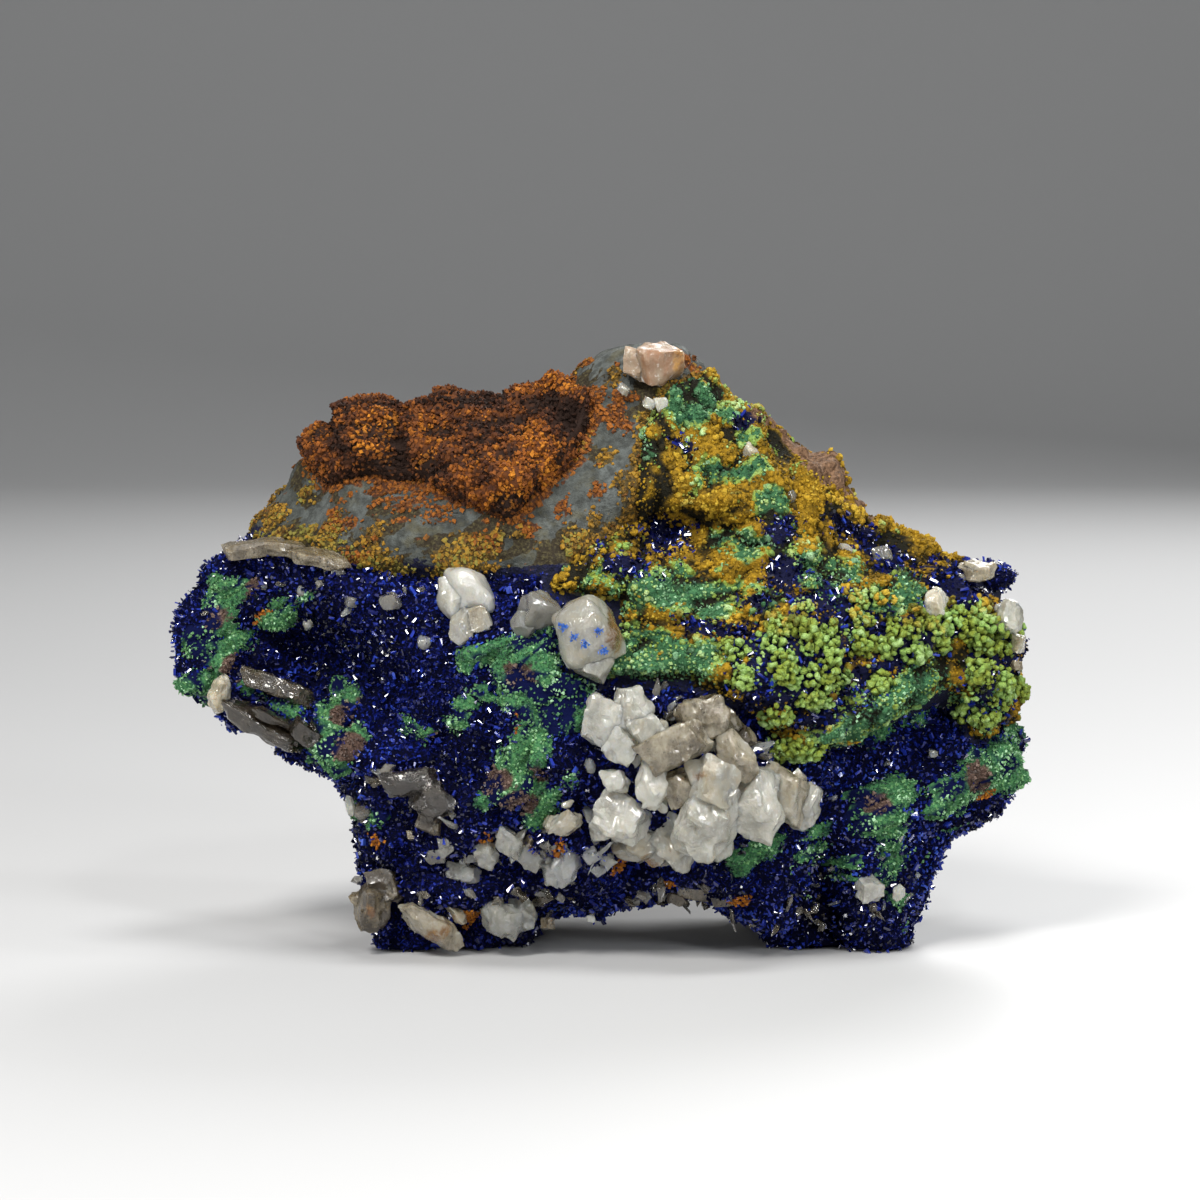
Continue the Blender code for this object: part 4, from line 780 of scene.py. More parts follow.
def turned(points, across, upward, aside):
    """Points turned about the view axis, clockwise in degrees, after small turns about X and Z."""
    x, y, z = points.T
    a, b, c = math.radians(aside), math.radians(upward), math.radians(across)
    x, y = x * math.cos(a) - y * math.sin(a), x * math.sin(a) + y * math.cos(a)
    y, z = y * math.cos(b) - z * math.sin(b), y * math.sin(b) + z * math.cos(b)
    return np.stack([x * math.cos(c) + z * math.sin(c), y, z * math.cos(c) - x * math.sin(c)], axis=1)


# ---- Where the minerals show ----
# Each shape is a tilted ellipse on the show face: across, up, half width, half height, tilt.
MALACHITE = (  # green patches on the azurite
    (-38.2, 35.2, 1.9, 2.3, -20), (-38.9, 30.6, 3, 2.4, 20), (-40.2, 27.2, 1.1, 2, 0),
    (-32.4, 34.6, 1.6, 2.5, 10), (-35.2, 36.6, 1.4, 1, 0), (-26.6, 22.4, 3.4, 2.6, 24),
    (-24.9, 25.2, 1.4, 2.6, 20), (-7.4, 30.6, 2.8, 3.2, -10), (-5.4, 26.6, 4.6, 2.8, 0),
    (-7, 22.6, 2.2, 3.6, 12), (-8, 18.2, 3.6, 2.2, 0), (-6.4, 15.6, 1.8, 1.8, 0),
    (-14.2, 25.4, 0.9, 2.4, 0), (-12.6, 31, 2.6, 1, 10), (27.8, 14.6, 3.3, 3.4, 0),
    (37.4, 16.6, 4, 2.4, 34), (41, 19, 2, 3.4, 0), (24.6, 9.2, 1, 1.2, 0), (29.2, 9.4, 1.8, 1.2, 0),
    (30.4, 5.2, 1.2, 1.6, 0), (14.6, 10.4, 2.2, 0.9, 32), (21.4, 11.2, 0.9, 2.6, -14),
    (-22.6, 14.2, 0.9, 0.7, 0), (-18.4, 23, 1, 0.9, 0), (-32.6, 25, 3.4, 0.5, -26),
    (28.6, 23.6, 6.2, 1.3, 22),
)
BROWN_HEARTS = (  # where those patches are bare and brown
    (-38.6, 33.4, 1.6, 1.2, 0), (-36.8, 28.6, 1.9, 1.4, 10), (-34.4, 35.8, 1, 2.4, 0),
    (-25.4, 24.4, 1.5, 1.4, 0), (-24.6, 21.2, 1.8, 1.4, 0), (-8.4, 29.6, 1.7, 1.3, 0),
    (-7.9, 16.6, 1.9, 1.5, 0), (-10.4, 18.8, 1.4, 1.1, 0), (-5.8, 19.6, 1, 0.9, 0),
    (27.6, 15.8, 1.3, 1.2, 0), (38.2, 17.6, 1.5, 2.2, 20), (-15.6, 21.6, 1.2, 2, 0),
)
LIME = (  # where the ochre crust swells into lime-green rosettes
    (19.4, 30, 6.6, 4.4, 0), (23.4, 35.2, 4.8, 2.4, -14), (31, 32.2, 5, 2.6, 22), (39.8, 28.6, 2.8, 6.2, 0),
    (36.6, 33.6, 3.4, 1.8, 10), (18.6, 21.4, 2.9, 1.5, -12), (26.2, 27.8, 1.8, 1.1, -20),
    (20.6, 33.6, 3.4, 2, 0),
)
GREENER = (  # where the ochre crust is mostly fine green malachite
    (8.4, 56.2, 3.4, 2.2, -35), (12.4, 48.9, 3.4, 1.1, 0), (17.4, 45, 1.7, 1.8, 0), (14.6, 41.6, 3, 1.4, 0),
    (8.4, 37.2, 8.6, 2.2, -6), (4.4, 30.4, 7.8, 3.4, -6), (20.8, 39.4, 5, 2, -24), (29.6, 36.2, 3.6, 2, 0),
    (4.2, 51.6, 0.9, 2.6, 10), (28.2, 25.4, 8, 2.9, 25), (38.6, 24.4, 3.4, 1.8, 0),
    (13.6, 53.4, 2.4, 0.9, -35),
)
AZURE_POCKETS = (  # where blue crystals show through the ochre crust
    (6.4, 42.4, 2.7, 1.7, -6), (1.9, 39.9, 2.6, 0.9, -8), (18.2, 38.6, 1.8, 1.4, 0), (18, 43, 1.4, 1, 0),
    (11.6, 33.6, 3.6, 0.9, -6), (27.6, 29, 3.6, 1.5, 24), (36, 37, 4.4, 2, -14),
    (25.4, 42.6, 2.8, 1.2, -24), (14.6, 27, 1.4, 2.4, 0), (42.6, 32, 1.4, 4.4, 0),
    (28.6, 39.8, 2.6, 1.1, -28), (14.2, 53.4, 0.9, 0.7, 0), (21.4, 25, 2.6, 1.2, 4),
    (23.6, 31, 1.1, 1.6, 0), (8.8, 51.2, 0.8, 0.6, 0), (14.6, 36, 1.4, 0.8, 0), (34.2, 22.8, 4.6, 1, 25),
)
RUST_STAINS = (  # stains on the bare stone
    (-27, 46.4, 1.2, 4, 22), (-30, 48.6, 1.8, 1.4, 0), (-24.1, 41.2, 1.2, 1.6, -10),
    (-15, 44.4, 1.2, 0.9, 0), (-18.6, 44.2, 2.6, 0.8, 8), (-2.4, 54.4, 2.6, 1.6, 20),
    (-9.6, 44.6, 3, 1.2, 30), (-14.4, 43.4, 1, 0.7, 20), (9.2, 58.2, 0.8, 1.2, 0), (-22, 45, 0.8, 1, 0),
    (-12, 42.6, 0.9, 0.6, 0), (2.6, 54, 0.6, 1.2, 0),
)
OCHRE_STAINS = (
    (-31.8, 43.6, 3.6, 2, 44), (-15.4, 40.6, 4, 1.1, -2), (-4, 41.6, 5.4, 1.6, 12),
    (-0.6, 50.6, 1.5, 1, -34), (-1.4, 57.2, 1.4, 0.9, 40), (-22.4, 41.2, 2.2, 0.9, 10),
    (2.6, 46, 1, 4.2, -16), (-8.6, 42.2, 3, 0.9, 24), (-26.4, 43.6, 1.2, 1.8, 20), (1, 57.6, 0.9, 0.7, 0),
    (-10.4, 40, 2.4, 0.9, 0),
)
LIME_STAINS = (
    (-29.6, 45, 1.5, 2.4, 10), (-18.6, 38.9, 5.2, 1.1, -4), (-26.4, 41.2, 2, 0.8, 0),
    (-1.6, 41.4, 1.6, 0.9, 0), (-10.6, 41.6, 3, 0.8, 6), (-6, 39.9, 2.8, 0.8, 0), (-33.6, 42, 1.8, 0.8, 30),
    (-15.4, 42.6, 1, 0.6, 0), (4.6, 55.6, 1.4, 2.4, 0), (-16, 37, 0.7, 0.6, 0),
)
BARE_EDGES = (  # where the stone is bare and brown along the edge of the ochre crust
    (22.2, 49.5, 6.2, 1.5, -46), (26.8, 45.2, 2.2, 1.1, -50), (17, 53.4, 2.6, 0.6, -20),
)
RUST_HOLLOW_SHADE = (  # painted shade in the rust crust's hollows and along its top: its crumbs are darkened there
    (-2.6, 53.8, 2.8, 1.9, 10), (-12, 55.6, 8, 1, -2), (-19.9, 50.6, 0.7, 3.4, -8),
    (-25.6, 50.6, 0.6, 2.8, 24), (-22.4, 47.8, 4, 0.7, 8), (-12, 53.2, 2.6, 0.8, -8),
)
YELLOW_RUST = (  # the yellowest of the rust crust
    (-22.6, 52.4, 2.4, 2.4, 0), (-6.4, 50, 2.6, 3.4, -14), (-8.8, 46.4, 2.2, 1.2, 0),
    (-14.4, 46.6, 2, 1, 0),
)
CLEFT = (22.6, 4.6, 1.6, 7, 4)  # the cleft between the right-hand feet, as a tilted ellipse

# Where each crust lies deeper: tilted ellipses, and how much deeper.
HOLLOWS = {
    "rust": (
        (-19.9, 50.6, 0.9, 4.8, -8, 2.2), (-25.8, 50.8, 0.8, 3.6, 24, 1.8), (-23, 47.3, 4.2, 0.8, 8, 1.4),
        (-2.6, 53, 3.4, 1.8, 10, 1.2), (-28.6, 47.6, 2.4, 1.2, 10, 1.6), (-11, 54.6, 1.6, 1, 10, 1),
    ),
    "green": (
        (18.6, 50, 2.2, 1.4, -16, 4.2), (6.4, 42.2, 2.8, 1.4, -6, 2), (5.2, 44.2, 0.5, 3, -16, 1.6),
        (25.6, 41.4, 3.6, 1, -24, 1.4), (13, 44.4, 2.4, 0.5, 20, 1.2), (10.4, 47.4, 0.5, 2.2, 10, 1.2),
        (31.6, 37.4, 3.2, 0.9, -20, 1.3), (12, 33.4, 3.8, 0.6, -6, 1.1), (24.6, 31.4, 0.7, 3, 6, 1.2),
        (33.6, 29.6, 0.7, 3.2, -10, 1.2), (20, 26, 4.6, 0.7, -8, 1.2), (5, 34, 3, 0.5, 4, 1),
    ),
    "azurite": ((*CLEFT, 3.4), (-28, 29.5, 7.4, 4.2, -18, 1), (-21.6, 12.6, 0.8, 3, -8, 0.8)),
}

# The least and the greatest half width, and the least and the greatest height, of each kind of grain.
GRAIN_SIZES = {
    "stain": ((0.10, 0.38), (0.10, 0.30)), "ball": ((0.20, 0.46), (0.18, 0.40)),
    "ochre": ((0.09, 0.25), (0.09, 0.22)), "malachite": ((0.07, 0.24), (0.08, 0.24)),
    "needle": ((0.05, 0.12), (0.20, 0.50)), "rust_speck": ((0.10, 0.24), (0.10, 0.26)),
}
CRUMB_HEIGHTS, BLADE_WIDTHS, DRUSE_WIDTHS = (0.10, 0.42), (0.10, 0.28), (0.13, 0.32)  # least and greatest
MALACHITE_SPACINGS = (0.45, 0.70), (0.60, 0.85)  # grains and needles, on the azurite and on the ochre crust
BEDS = {  # each crust's settings, seed, height of its grit, and height and size of its lumps
    "rust": ("specimen_limonite", 321, 0.40, 2.3, 2.5),
    "green": ("specimen_ochre", 331, 0.40, 2.5, 2.5),
    "azurite": ("specimen_azurite", 401, 0.35, 2.0, 4.2),
}
BAND_UP, BAND_HALF = 41.2, 2.0  # the band of mixed stains over the azurite
SHADED_AND_DARK_AZURITE = (  # where the crystals are darker: painted shade in the left cavity and the undercut below the bench, and darker crystals lower down
    (-28, 30, 8.4, 4.6, -16), (-19, 9, 7, 6, 0), (-6, 8, 8, 3, 0), (14, 23.6, 8, 1.6, -8),
    (-13, 20, 3, 4, 0),
)
CALCITE_STAINS = (  # rust and ochre on the calcite
    (1.5, 34.6, 0.9, 2.8, 0), (4.9, 10.4, 1.1, 0.9, 0), (7.9, 59.4, 0.7, 1.9, 0), (9.4, 19.8, 1.1, 0.6, 0),
    (-6.2, 12, 0.9, 0.9, 0), (-22.8, 4.8, 0.6, 1.2, 20), (-16.4, 2.4, 0.8, 2.2, -56),
    (-9.6, 12.4, 0.4, 0.4, 0),
)


def within(points, shapes, wander, seed, size=1.6):
    """How far inside the nearest of some tilted ellipses each point of the front lies, with a ragged edge."""
    across, up = points[:, 0], points[:, 2]
    deepest = np.full(len(points), -1e3)
    for shape in shapes:
        deepest = np.maximum(deepest, inside_ellipse(across, up, shape))
    behind = np.maximum(points[:, 1] - RIM_DEPTH, 0)
    return deepest + wander * rough_noise(points, size, 3, seed) - 1.2 * behind


def share_within(points, shapes, wander, seed, soft=0.5, size=1.6):
    """1 inside the ellipses, 0 outside, and a ragged change between."""
    return smooth_step(-soft, soft, within(points, shapes, wander, seed, size))


def standing_clear(points, margin=0.0):
    """1 where no calcite crystal stands, and 0 under each one."""
    clear = np.ones(len(points))
    for group in CRYSTALS.values():
        for across, up, _out, width, height, _deep, tilt, *_rest in group:
            shape = (across, up, max(width / 2 - margin, 0.3), max(height / 2 - margin, 0.3), -tilt)
            clear *= smooth_step(0.1, -0.3, inside_ellipse(points[:, 0], points[:, 2], shape))
    return np.where(points[:, 1] > RIM_DEPTH, 1.0, clear)


CRYSTAL_LOOKS = {  # each group's finish, and the tone of its crystals: 0 white, 0.4 cream, 0.75 tan, 1 brown
    "calcite_upper": ("milky", -0.1), "calcite_round": ("milky", 0.25), "calcite_grey": ("glassy", 0.4),
    "calcite_cluster": ("milky", 0.2), "calcite_blade": ("milky", 0.45),
    "calcite_small_block": ("milky", 0.0), "calcite_clear": ("glassy", 0.1),
    "calcite_glassy_low": ("glassy", 0.3), "calcite_brown_ledge": ("smoky", 0.9),
    "cavity_shelf_calcite": ("smoky", 0.8), "cream_crystal_left": ("stained", 0.5),
    "quartz_slab_left": ("stained", 0.78), "peak_crystal": ("peach", 0.3),
    "calcite_right_small": ("stained", 0.35), "calcite_right_corner": ("milky", 0.2),
    "calcite_right_top": ("stained", 0.6), "lump_crystal": ("milky", 0.2), "brown_foot": ("stained", 0.98),
    "cream_foot": ("milky", 0.5), "clear_foot": ("glassy", 0.25),
}
# The groups that weather smoothly and have no smaller crystals grown into them.
SMOOTH_GROUPS = ("calcite_upper", "calcite_round", "calcite_grey", "peak_crystal", "quartz_slab_left")
TONES = {  # the groups whose crystals each have a tone of their own
    "calcite_cluster": (
        0.1, 0.15, 0.2, 0.05, 0.0, 0.62, 0.74, 0.54, 0.36, 0.2, 0.15, 0.5, 0.15, 0.25, 0.6, 0.3, 0.05,
        0.35, 0.1,
    ),
    "calcite_upper": (-0.1, 0.1, 0.35, 0.45),
    "cavity_shelf_calcite": (0.62, 0.78, 0.9),
}
# Small crystals that stand alone: across, up, width, height, tilt, tone, habit, finish.
SINGLE_CHIPS = (
    (-16.8, 14.1, 3, 2.4, 20, 0.95, "block", "stained"),
    (-12.3, 13.2, 1.6, 2.1, -20, 0.4, "prism", "glassy"), (-14.8, 13.9, 0.8, 1.5, 0, 0, "block", "milky"),
    (-11.5, 11.3, 1.7, 0.9, 10, 0.2, "block", "glassy"), (-9.9, 13.3, 1.1, 1.8, 8, 0, "prism", "milky"),
    (-13.7, 8.8, 3.6, 2.1, 12, 0.3, "block", "glassy"),
    (-16.3, 10.8, 2.4, 2.2, -24, 0.45, "block", "glassy"), (-8.6, 11, 0.7, 3.3, 8, 0.05, "blade", "milky"),
    (-5.1, 10.4, 0.8, 1.7, -10, 0, "prism", "milky"), (-6.5, 12.2, 2.3, 1.8, 24, 0.9, "block", "stained"),
    (-12.4, 7, 1.6, 1.2, 40, 0.25, "prism", "glassy"), (-18.6, 12.6, 1.3, 1, 0, 0.7, "block", "stained"),
    (-25.1, 14.9, 1.1, 2.3, -12, 0, "prism", "milky"), (-17.3, 32.2, 1.8, 1.8, 0, 0.2, "lump", "glassy"),
    (-29.8, 36.7, 1.3, 1.4, 0, 0.3, "lump", "glassy"), (-29.4, 33, 1.2, 1.3, 0, 0.3, "lump", "glassy"),
    (-20.6, 36, 2.4, 1.8, -16, 0.55, "block", "glassy"),
    (-24.6, 35.8, 1.7, 1.2, 10, 0.5, "block", "glassy"), (18.9, 46, 1.7, 1.7, 0, 0.5, "lump", "glassy"),
    (20.9, 46, 1.5, 1.5, 0, 0.5, "lump", "glassy"), (19.6, 47.6, 1.2, 1.1, 0, 0.6, "lump", "glassy"),
    (14.8, 50.5, 2.6, 1.9, -20, 0.45, "block", "stained"), (4.9, 55.3, 1.4, 1.3, 20, 0.1, "block", "milky"),
    (6.2, 55.1, 1.5, 1.8, -14, 0.4, "block", "stained"), (2.4, 56.6, 1.4, 1, 30, 0.2, "block", "milky"),
    (24.4, 40.4, 1.5, 2, 20, -0.2, "block", "milky"), (28.4, 40, 2.1, 1.6, -10, 0.45, "block", "glassy"),
    (37.8, 38, 1.3, 1.2, 0, 0.5, "lump", "glassy"), (36.4, 37.6, 1.1, 1, 0, 0.5, "lump", "glassy"),
    (42.2, 31, 1.6, 2, 10, 0.4, "block", "milky"), (42, 28.8, 1.2, 1.2, 0, 0.8, "block", "stained"),
    (29.7, 11.9, 1.5, 1.1, 0, 0.05, "block", "milky"), (30, 6.2, 1.5, 1.9, 20, 0.15, "prism", "milky"),
    (16.2, 3.9, 1.8, 1, 10, 0.1, "block", "milky"), (-0.9, 3.9, 1, 0.8, 0, 0, "block", "milky"),
    (-5.2, 3.4, 1.6, 1.3, 0, 0.9, "block", "stained"), (-4, 6, 1.2, 0.9, 30, 0.5, "block", "glassy"),
    (9.4, 6.4, 3.6, 1.5, 8, 0.8, "block", "stained"), (12.4, 5.6, 2.6, 1.3, -10, 0.9, "block", "stained"),
    (7.6, 5.8, 2, 1.3, 20, 0.95, "block", "stained"), (-38.6, 24.2, 1.4, 0.9, -30, 0, "block", "milky"),
    (-21.4, 11.2, 1, 1.4, 20, 0.3, "prism", "glassy"), (22.6, 26.4, 1.1, 1, 0, 0.1, "lump", "milky"),
    (33.4, 20.2, 1.2, 0.9, 10, 0.2, "block", "glassy"), (-8.6, 20, 1, 1.6, 8, 0.2, "block", "glassy"),
    (-4.2, 21.6, 1.4, 1.1, 0, 0.3, "block", "glassy"), (-1, 20.4, 1.2, 1.9, -10, 0.2, "prism", "glassy"),
    (-17.4, 6.4, 1.1, 0.9, 0, 0.6, "block", "glassy"),
)
CHIP_FIELDS = (  # ellipse, spacing, smallest and largest half size, tone
    ((-11, 11, 8, 4.6, 0), 2, 0.25, 0.85, 0.35), ((-15, 35.4, 8, 2.6, 0), 3.2, 0.2, 0.5, 0.45),
    ((3, 13.6, 6, 3.6, 0), 1.8, 0.25, 0.75, 0.2), ((25, 12, 9, 7, 0), 5, 0.2, 0.5, 0.3),
    ((-34, 32, 7, 7, 0), 4.4, 0.2, 0.5, 0.6), ((40, 30, 3, 7, 0), 3.6, 0.3, 0.6, 0.4),
    ((-28, 39.4, 8, 1, 0), 2.2, 0.3, 0.8, 0.5), ((2, 5.6, 26, 1.6, 0), 2.8, 0.3, 0.8, 0.85),
    ((10, 22, 7, 5, -20), 1.7, 0.3, 0.8, 0.5), ((-20, 16, 3.4, 3, 0), 1.8, 0.3, 0.9, 0.95),
)
CHIP_SIDES = 5  # sides of each scattered chip
STAIN_TONES = {"rust": 0.25, "ochre": 0.62, "lime": 0.9}  # the tone of each stain's grains
BLUE_STAIN = (0.004, 0.005, 0.018), (0.010, 0.012, 0.060)  # the rock beside the azurite, dark and light
POCKET_BLUE_AND_SHADE = (0.003, 0.004, 0.030)  # the bed where azurite shows through the ochre crust, and painted shade on the bed under the lime rosettes
HEART_SHADES = (0.2, (0.045, 0.028, 0.022)), (0.8, (0.17, 0.11, 0.085))  # browns by tone
CALCITE_KINDS = {  # how milky and how rough each kind is, and its run of colours by tone
    "milky": (0.36, 0.08, ((0.0, "white"), (0.26, "veil"), (0.5, "cream"), (0.76, "tan"), (1.0, "brown"))),
    "glassy": (0.22, 0.06, ((0.05, "glass"), (0.35, "veil"), (0.6, "smoky"), (1.0, "tan"))),
    "smoky": (0.40, 0.16, ((0.3, "tan"), (0.7, "brown"), (1.0, "pit"))),
    "stained": (0.60, 0.26, ((0.0, "white"), (0.26, "veil"), (0.5, "cream"), (0.76, "tan"), (1.0, "brown"))),
    "peach": (0.8, 0.42, ((0.1, "peach_pale"), (0.5, "peach"), (0.95, "rusty"))),
}
RUST_SPECKS = (  # across, up, radius
    (-22.3, 12, 0.5), (-35.2, 19.4, 0.4), (1.9, 9.7, 0.6), (-11.6, 12.2, 0.5), (-13.1, 4, 0.8),
    (-7.1, 25.7, 0.6), (-7.1, 24.2, 0.6), (8.9, 17.9, 0.7), (6.6, 7.6, 0.5), (13.8, 6, 0.5),
    (-23.1, 35.5, 0.4), (-34, 33.6, 0.4), (20.4, 17.6, 0.4), (-17.6, 3.2, 0.6), (-3.9, 11.9, 0.4),
    (40, 24, 0.8), (39.4, 16, 0.6),
)
BLUE_SPECKS = ((-3.5, 34.3), (-0.3, 33.9), (-1.5, 32.6), (0.3, 32), (-2.5, 33.4))
SPECK_CRYSTALS, SPECK_SPREAD = 26, 0.17  # crystals in each blue speck, and how far they spread
FACE_MEAN_DEPTH = 12.0  # how far the show face stands out in front of the rim, on the whole
FACE_LIGHTS = 7  # the lights that reach the show face come first
# The floor and backdrop in metres: half the width, the front, where the bend starts, its radius and the top.
FLOOR = {"half_width": 2.2, "front": -2.2, "back": 0.75, "bend": 0.45, "top": 2.0}
SKY = (0.9, 0.95, 1.0, 1.0)
SIGHT = (0.01, 20.0)  # the nearest and furthest that the camera sees, in metres
MIDDLE = np.array((0.0, 0.0, 0.03))  # what the lights look at, in metres
VIEW_WAY = np.array((0.0, -0.996, 0.087))  # the way from the specimen to the camera
LIGHTS = (  # place, width and height in metres, power as a part of the key light's, colour
    ("key_light", (-0.20, -0.40, 0.46), 0.14, 0.14, 1.0, (1.0, 0.98, 0.95)),
    ("fill_light", (0.36, -0.46, 0.24), 0.10, 0.12, 0.35, (0.95, 0.98, 1.0)),
    ("top_light", (0.08, -0.10, 0.60), 0.20, 0.14, 0.55, (1.0, 1.0, 1.0)),
    ("low_light", (-0.06, -0.55, 0.10), 0.05, 0.05, 0.12, (1.0, 1.0, 1.0)),
    ("left_light", (-0.50, -0.22, 0.16), 0.06, 0.10, 0.22, (1.0, 1.0, 1.0)),
    ("right_light", (0.52, -0.16, 0.34), 0.06, 0.10, 0.22, (1.0, 1.0, 1.0)),
    ("brow_light", (0.16, -0.48, 0.44), 0.06, 0.06, 0.22, (1.0, 1.0, 1.0)),
    ("back_light", (0.20, 0.55, 0.40), 0.30, 0.25, 0.8, (1.0, 1.0, 1.0)),
)


# ---- Finishes ----
NOISE_ROUGHNESS = 0.6  # how strong each finer layer of a noise is beside the last


def new_finish(name, roughness, **sockets):
    """A material with a Principled shader, its roughness and its other sockets by name. Returns the
    material, its tree and the shader."""
    made = bpy.data.materials.new(name)
    made.use_nodes = True
    shader = made.node_tree.nodes["Principled BSDF"]
    shader.inputs["Roughness"].default_value = roughness
    for title, value in sockets.items():
        shader.inputs[title.replace("_", " ")].default_value = value
    return made, made.node_tree, shader


def wire(tree, socket, value):
    """Gives a socket a value, or links it where the value is another node's socket."""
    if isinstance(value, bpy.types.NodeSocket):
        tree.links.new(value, socket)
    else:
        socket.default_value = value


def node_output(tree, kind, inputs, output, **settings):
    """Adds a node with its settings, gives each named input a value or a link, and returns an output."""
    made = tree.nodes.new(f"ShaderNode{kind}")
    for title, value in settings.items():
        setattr(made, title, value)
    for socket, value in inputs.items():
        wire(tree, made.inputs[socket], value)
    return made.outputs[output]


def value_of(tree, title):
    """A value that the mesh holds at each point."""
    return node_output(tree, "Attribute", {}, "Fac", attribute_name=title)


def noise(tree, millimetres, detail=4.0, stretch=None):
    """Noise whose features are about so many millimetres across, from the object's own coordinates."""
    place = node_output(tree, "TexCoord", {}, "Object")
    if stretch:
        place = node_output(tree, "Mapping", {"Vector": place, "Scale": stretch}, "Vector")
    form = {"Scale": 1 / (millimetres * MM), "Detail": detail, "Roughness": NOISE_ROUGHNESS}
    return node_output(tree, "TexNoise", {"Vector": place, **form}, "Fac")


def maths(tree, operation, first, second):
    """One sum on two sockets or numbers."""
    return node_output(tree, "Math", {0: first, 1: second}, 0, operation=operation)


def between(tree, value, low, high, start=0.0, end=1.0):
    """start below low, end above high, and a smooth change between."""
    given = dict(enumerate((value, low, high, start, end)))
    return node_output(tree, "MapRange", given, 0, interpolation_type="SMOOTHSTEP")


def mixed(tree, share, first, second):
    """The first colour where the share is 0, the second where it is 1."""
    first, second = (
        value if isinstance(value, bpy.types.NodeSocket) else (*value[:3], 1) for value in (first, second)
    )
    return node_output(tree, "Mix", {0: share, 6: first, 7: second}, 2, data_type="RGBA")


def ramp(tree, value, stops):
    """A run of colours, each from its place on a scale of 0 to 1."""
    made = tree.nodes.new("ShaderNodeValToRGB")
    elements = made.color_ramp.elements
    while len(elements) < len(stops):
        elements.new(0.5)
    for element, (place, colour) in zip(elements, stops):
        element.position = place
        element.color = (*colour[:3], 1)
    wire(tree, made.inputs["Fac"], value)
    return made.outputs["Color"]


def bumped(tree, shader, height, millimetres, strength):
    """Gives the shader fine relief, so many millimetres deep."""
    given = {"Strength": strength, "Distance": millimetres * MM, "Height": height}
    tree.links.new(node_output(tree, "Bump", given, "Normal"), shader.inputs["Normal"])


def unevenly(tree, value, grain, amount):
    """A value with noise about the middle added, so many times as strong."""
    return maths(tree, "ADD", value, maths(tree, "MULTIPLY", maths(tree, "SUBTRACT", grain, 0.5), amount))


def patch(tree, title, grain, amount, low, high):
    """Where one of the mesh's values is high, from 0 to 1, with an edge that a grain makes ragged."""
    return between(tree, unevenly(tree, value_of(tree, title), grain, amount), low, high)


def rock_finish(looks):
    """Blue-grey limestone, weathered tan behind, with granular stains of rust, ochre, lime green and blue,
    and painted shade round the stain clumps.
    """
    made, tree, shader = new_finish("grey_limestone", 0.8, Specular_IOR_Level=0.25)
    broad, fine, grain = noise(tree, 7.0), noise(tree, 1.1), noise(tree, 0.35, 2.0)
    stone = mixed(tree, between(tree, broad, 0.38, 0.62), looks.grey, looks.pale_grey)
    stone = mixed(tree, between(tree, fine, 0.35, 0.65, 0.7, 0.0), stone, looks.dark_grey)
    stone = mixed(tree, between(tree, noise(tree, 3.0, 6.0), 0.52, 0.70, 0.0, 0.5), stone, looks.olive)
    tan = mixed(tree, between(tree, fine, 0.35, 0.65), looks.weathered, looks.weathered_pale)
    colour = mixed(tree, patch(tree, "weathered", broad, 1.4, 0.35, 0.75), stone, tan)
    for title, dark, light in (
        # painted shade round the stain clumps comes first
        ("soil", looks.soil, looks.olive),
        ("blue", *BLUE_STAIN),
        ("lime", looks.ochre_dark, looks.lime),
        ("ochre", looks.ochre_dark, looks.ochre),
        ("rust", looks.rust_dark, looks.rust),
    ):
        stain = mixed(tree, between(tree, grain, 0.42, 0.80), dark, light)
        colour = mixed(tree, patch(tree, title, fine, 1.7, 0.46, 0.60), colour, stain)
    tree.links.new(colour, shader.inputs["Base Color"])
    tree.links.new(between(tree, fine, 0.3, 0.8, 0.92, 0.62), shader.inputs["Roughness"])
    relief = maths(tree, "ADD", noise(tree, 1.6, 8.0), maths(tree, "MULTIPLY", grain, 0.5))
    bumped(tree, shader, relief, 0.55, 0.9)
    return made


def grain_finish(name, crumbs, deep, roughness):
    """Crumbly mineral grains: a run of colours by each grain's tone, with painted shade: dark down in the
    creases.
    """
    made, tree, shader = new_finish(name, roughness, Specular_IOR_Level=0.25)
    tone = unevenly(tree, value_of(tree, "tone"), noise(tree, 0.5, 3.0), 0.6)
    # painted shade: low crowns, in the creases and at the grains' feet, turn to the deep colour
    colour = mixed(tree, between(tree, value_of(tree, "crown"), 0.10, 0.65), deep, ramp(tree, tone, crumbs))
    tree.links.new(colour, shader.inputs["Base Color"])
    bumped(tree, shader, noise(tree, 0.22, 4.0), 0.14, 0.8)
    return made


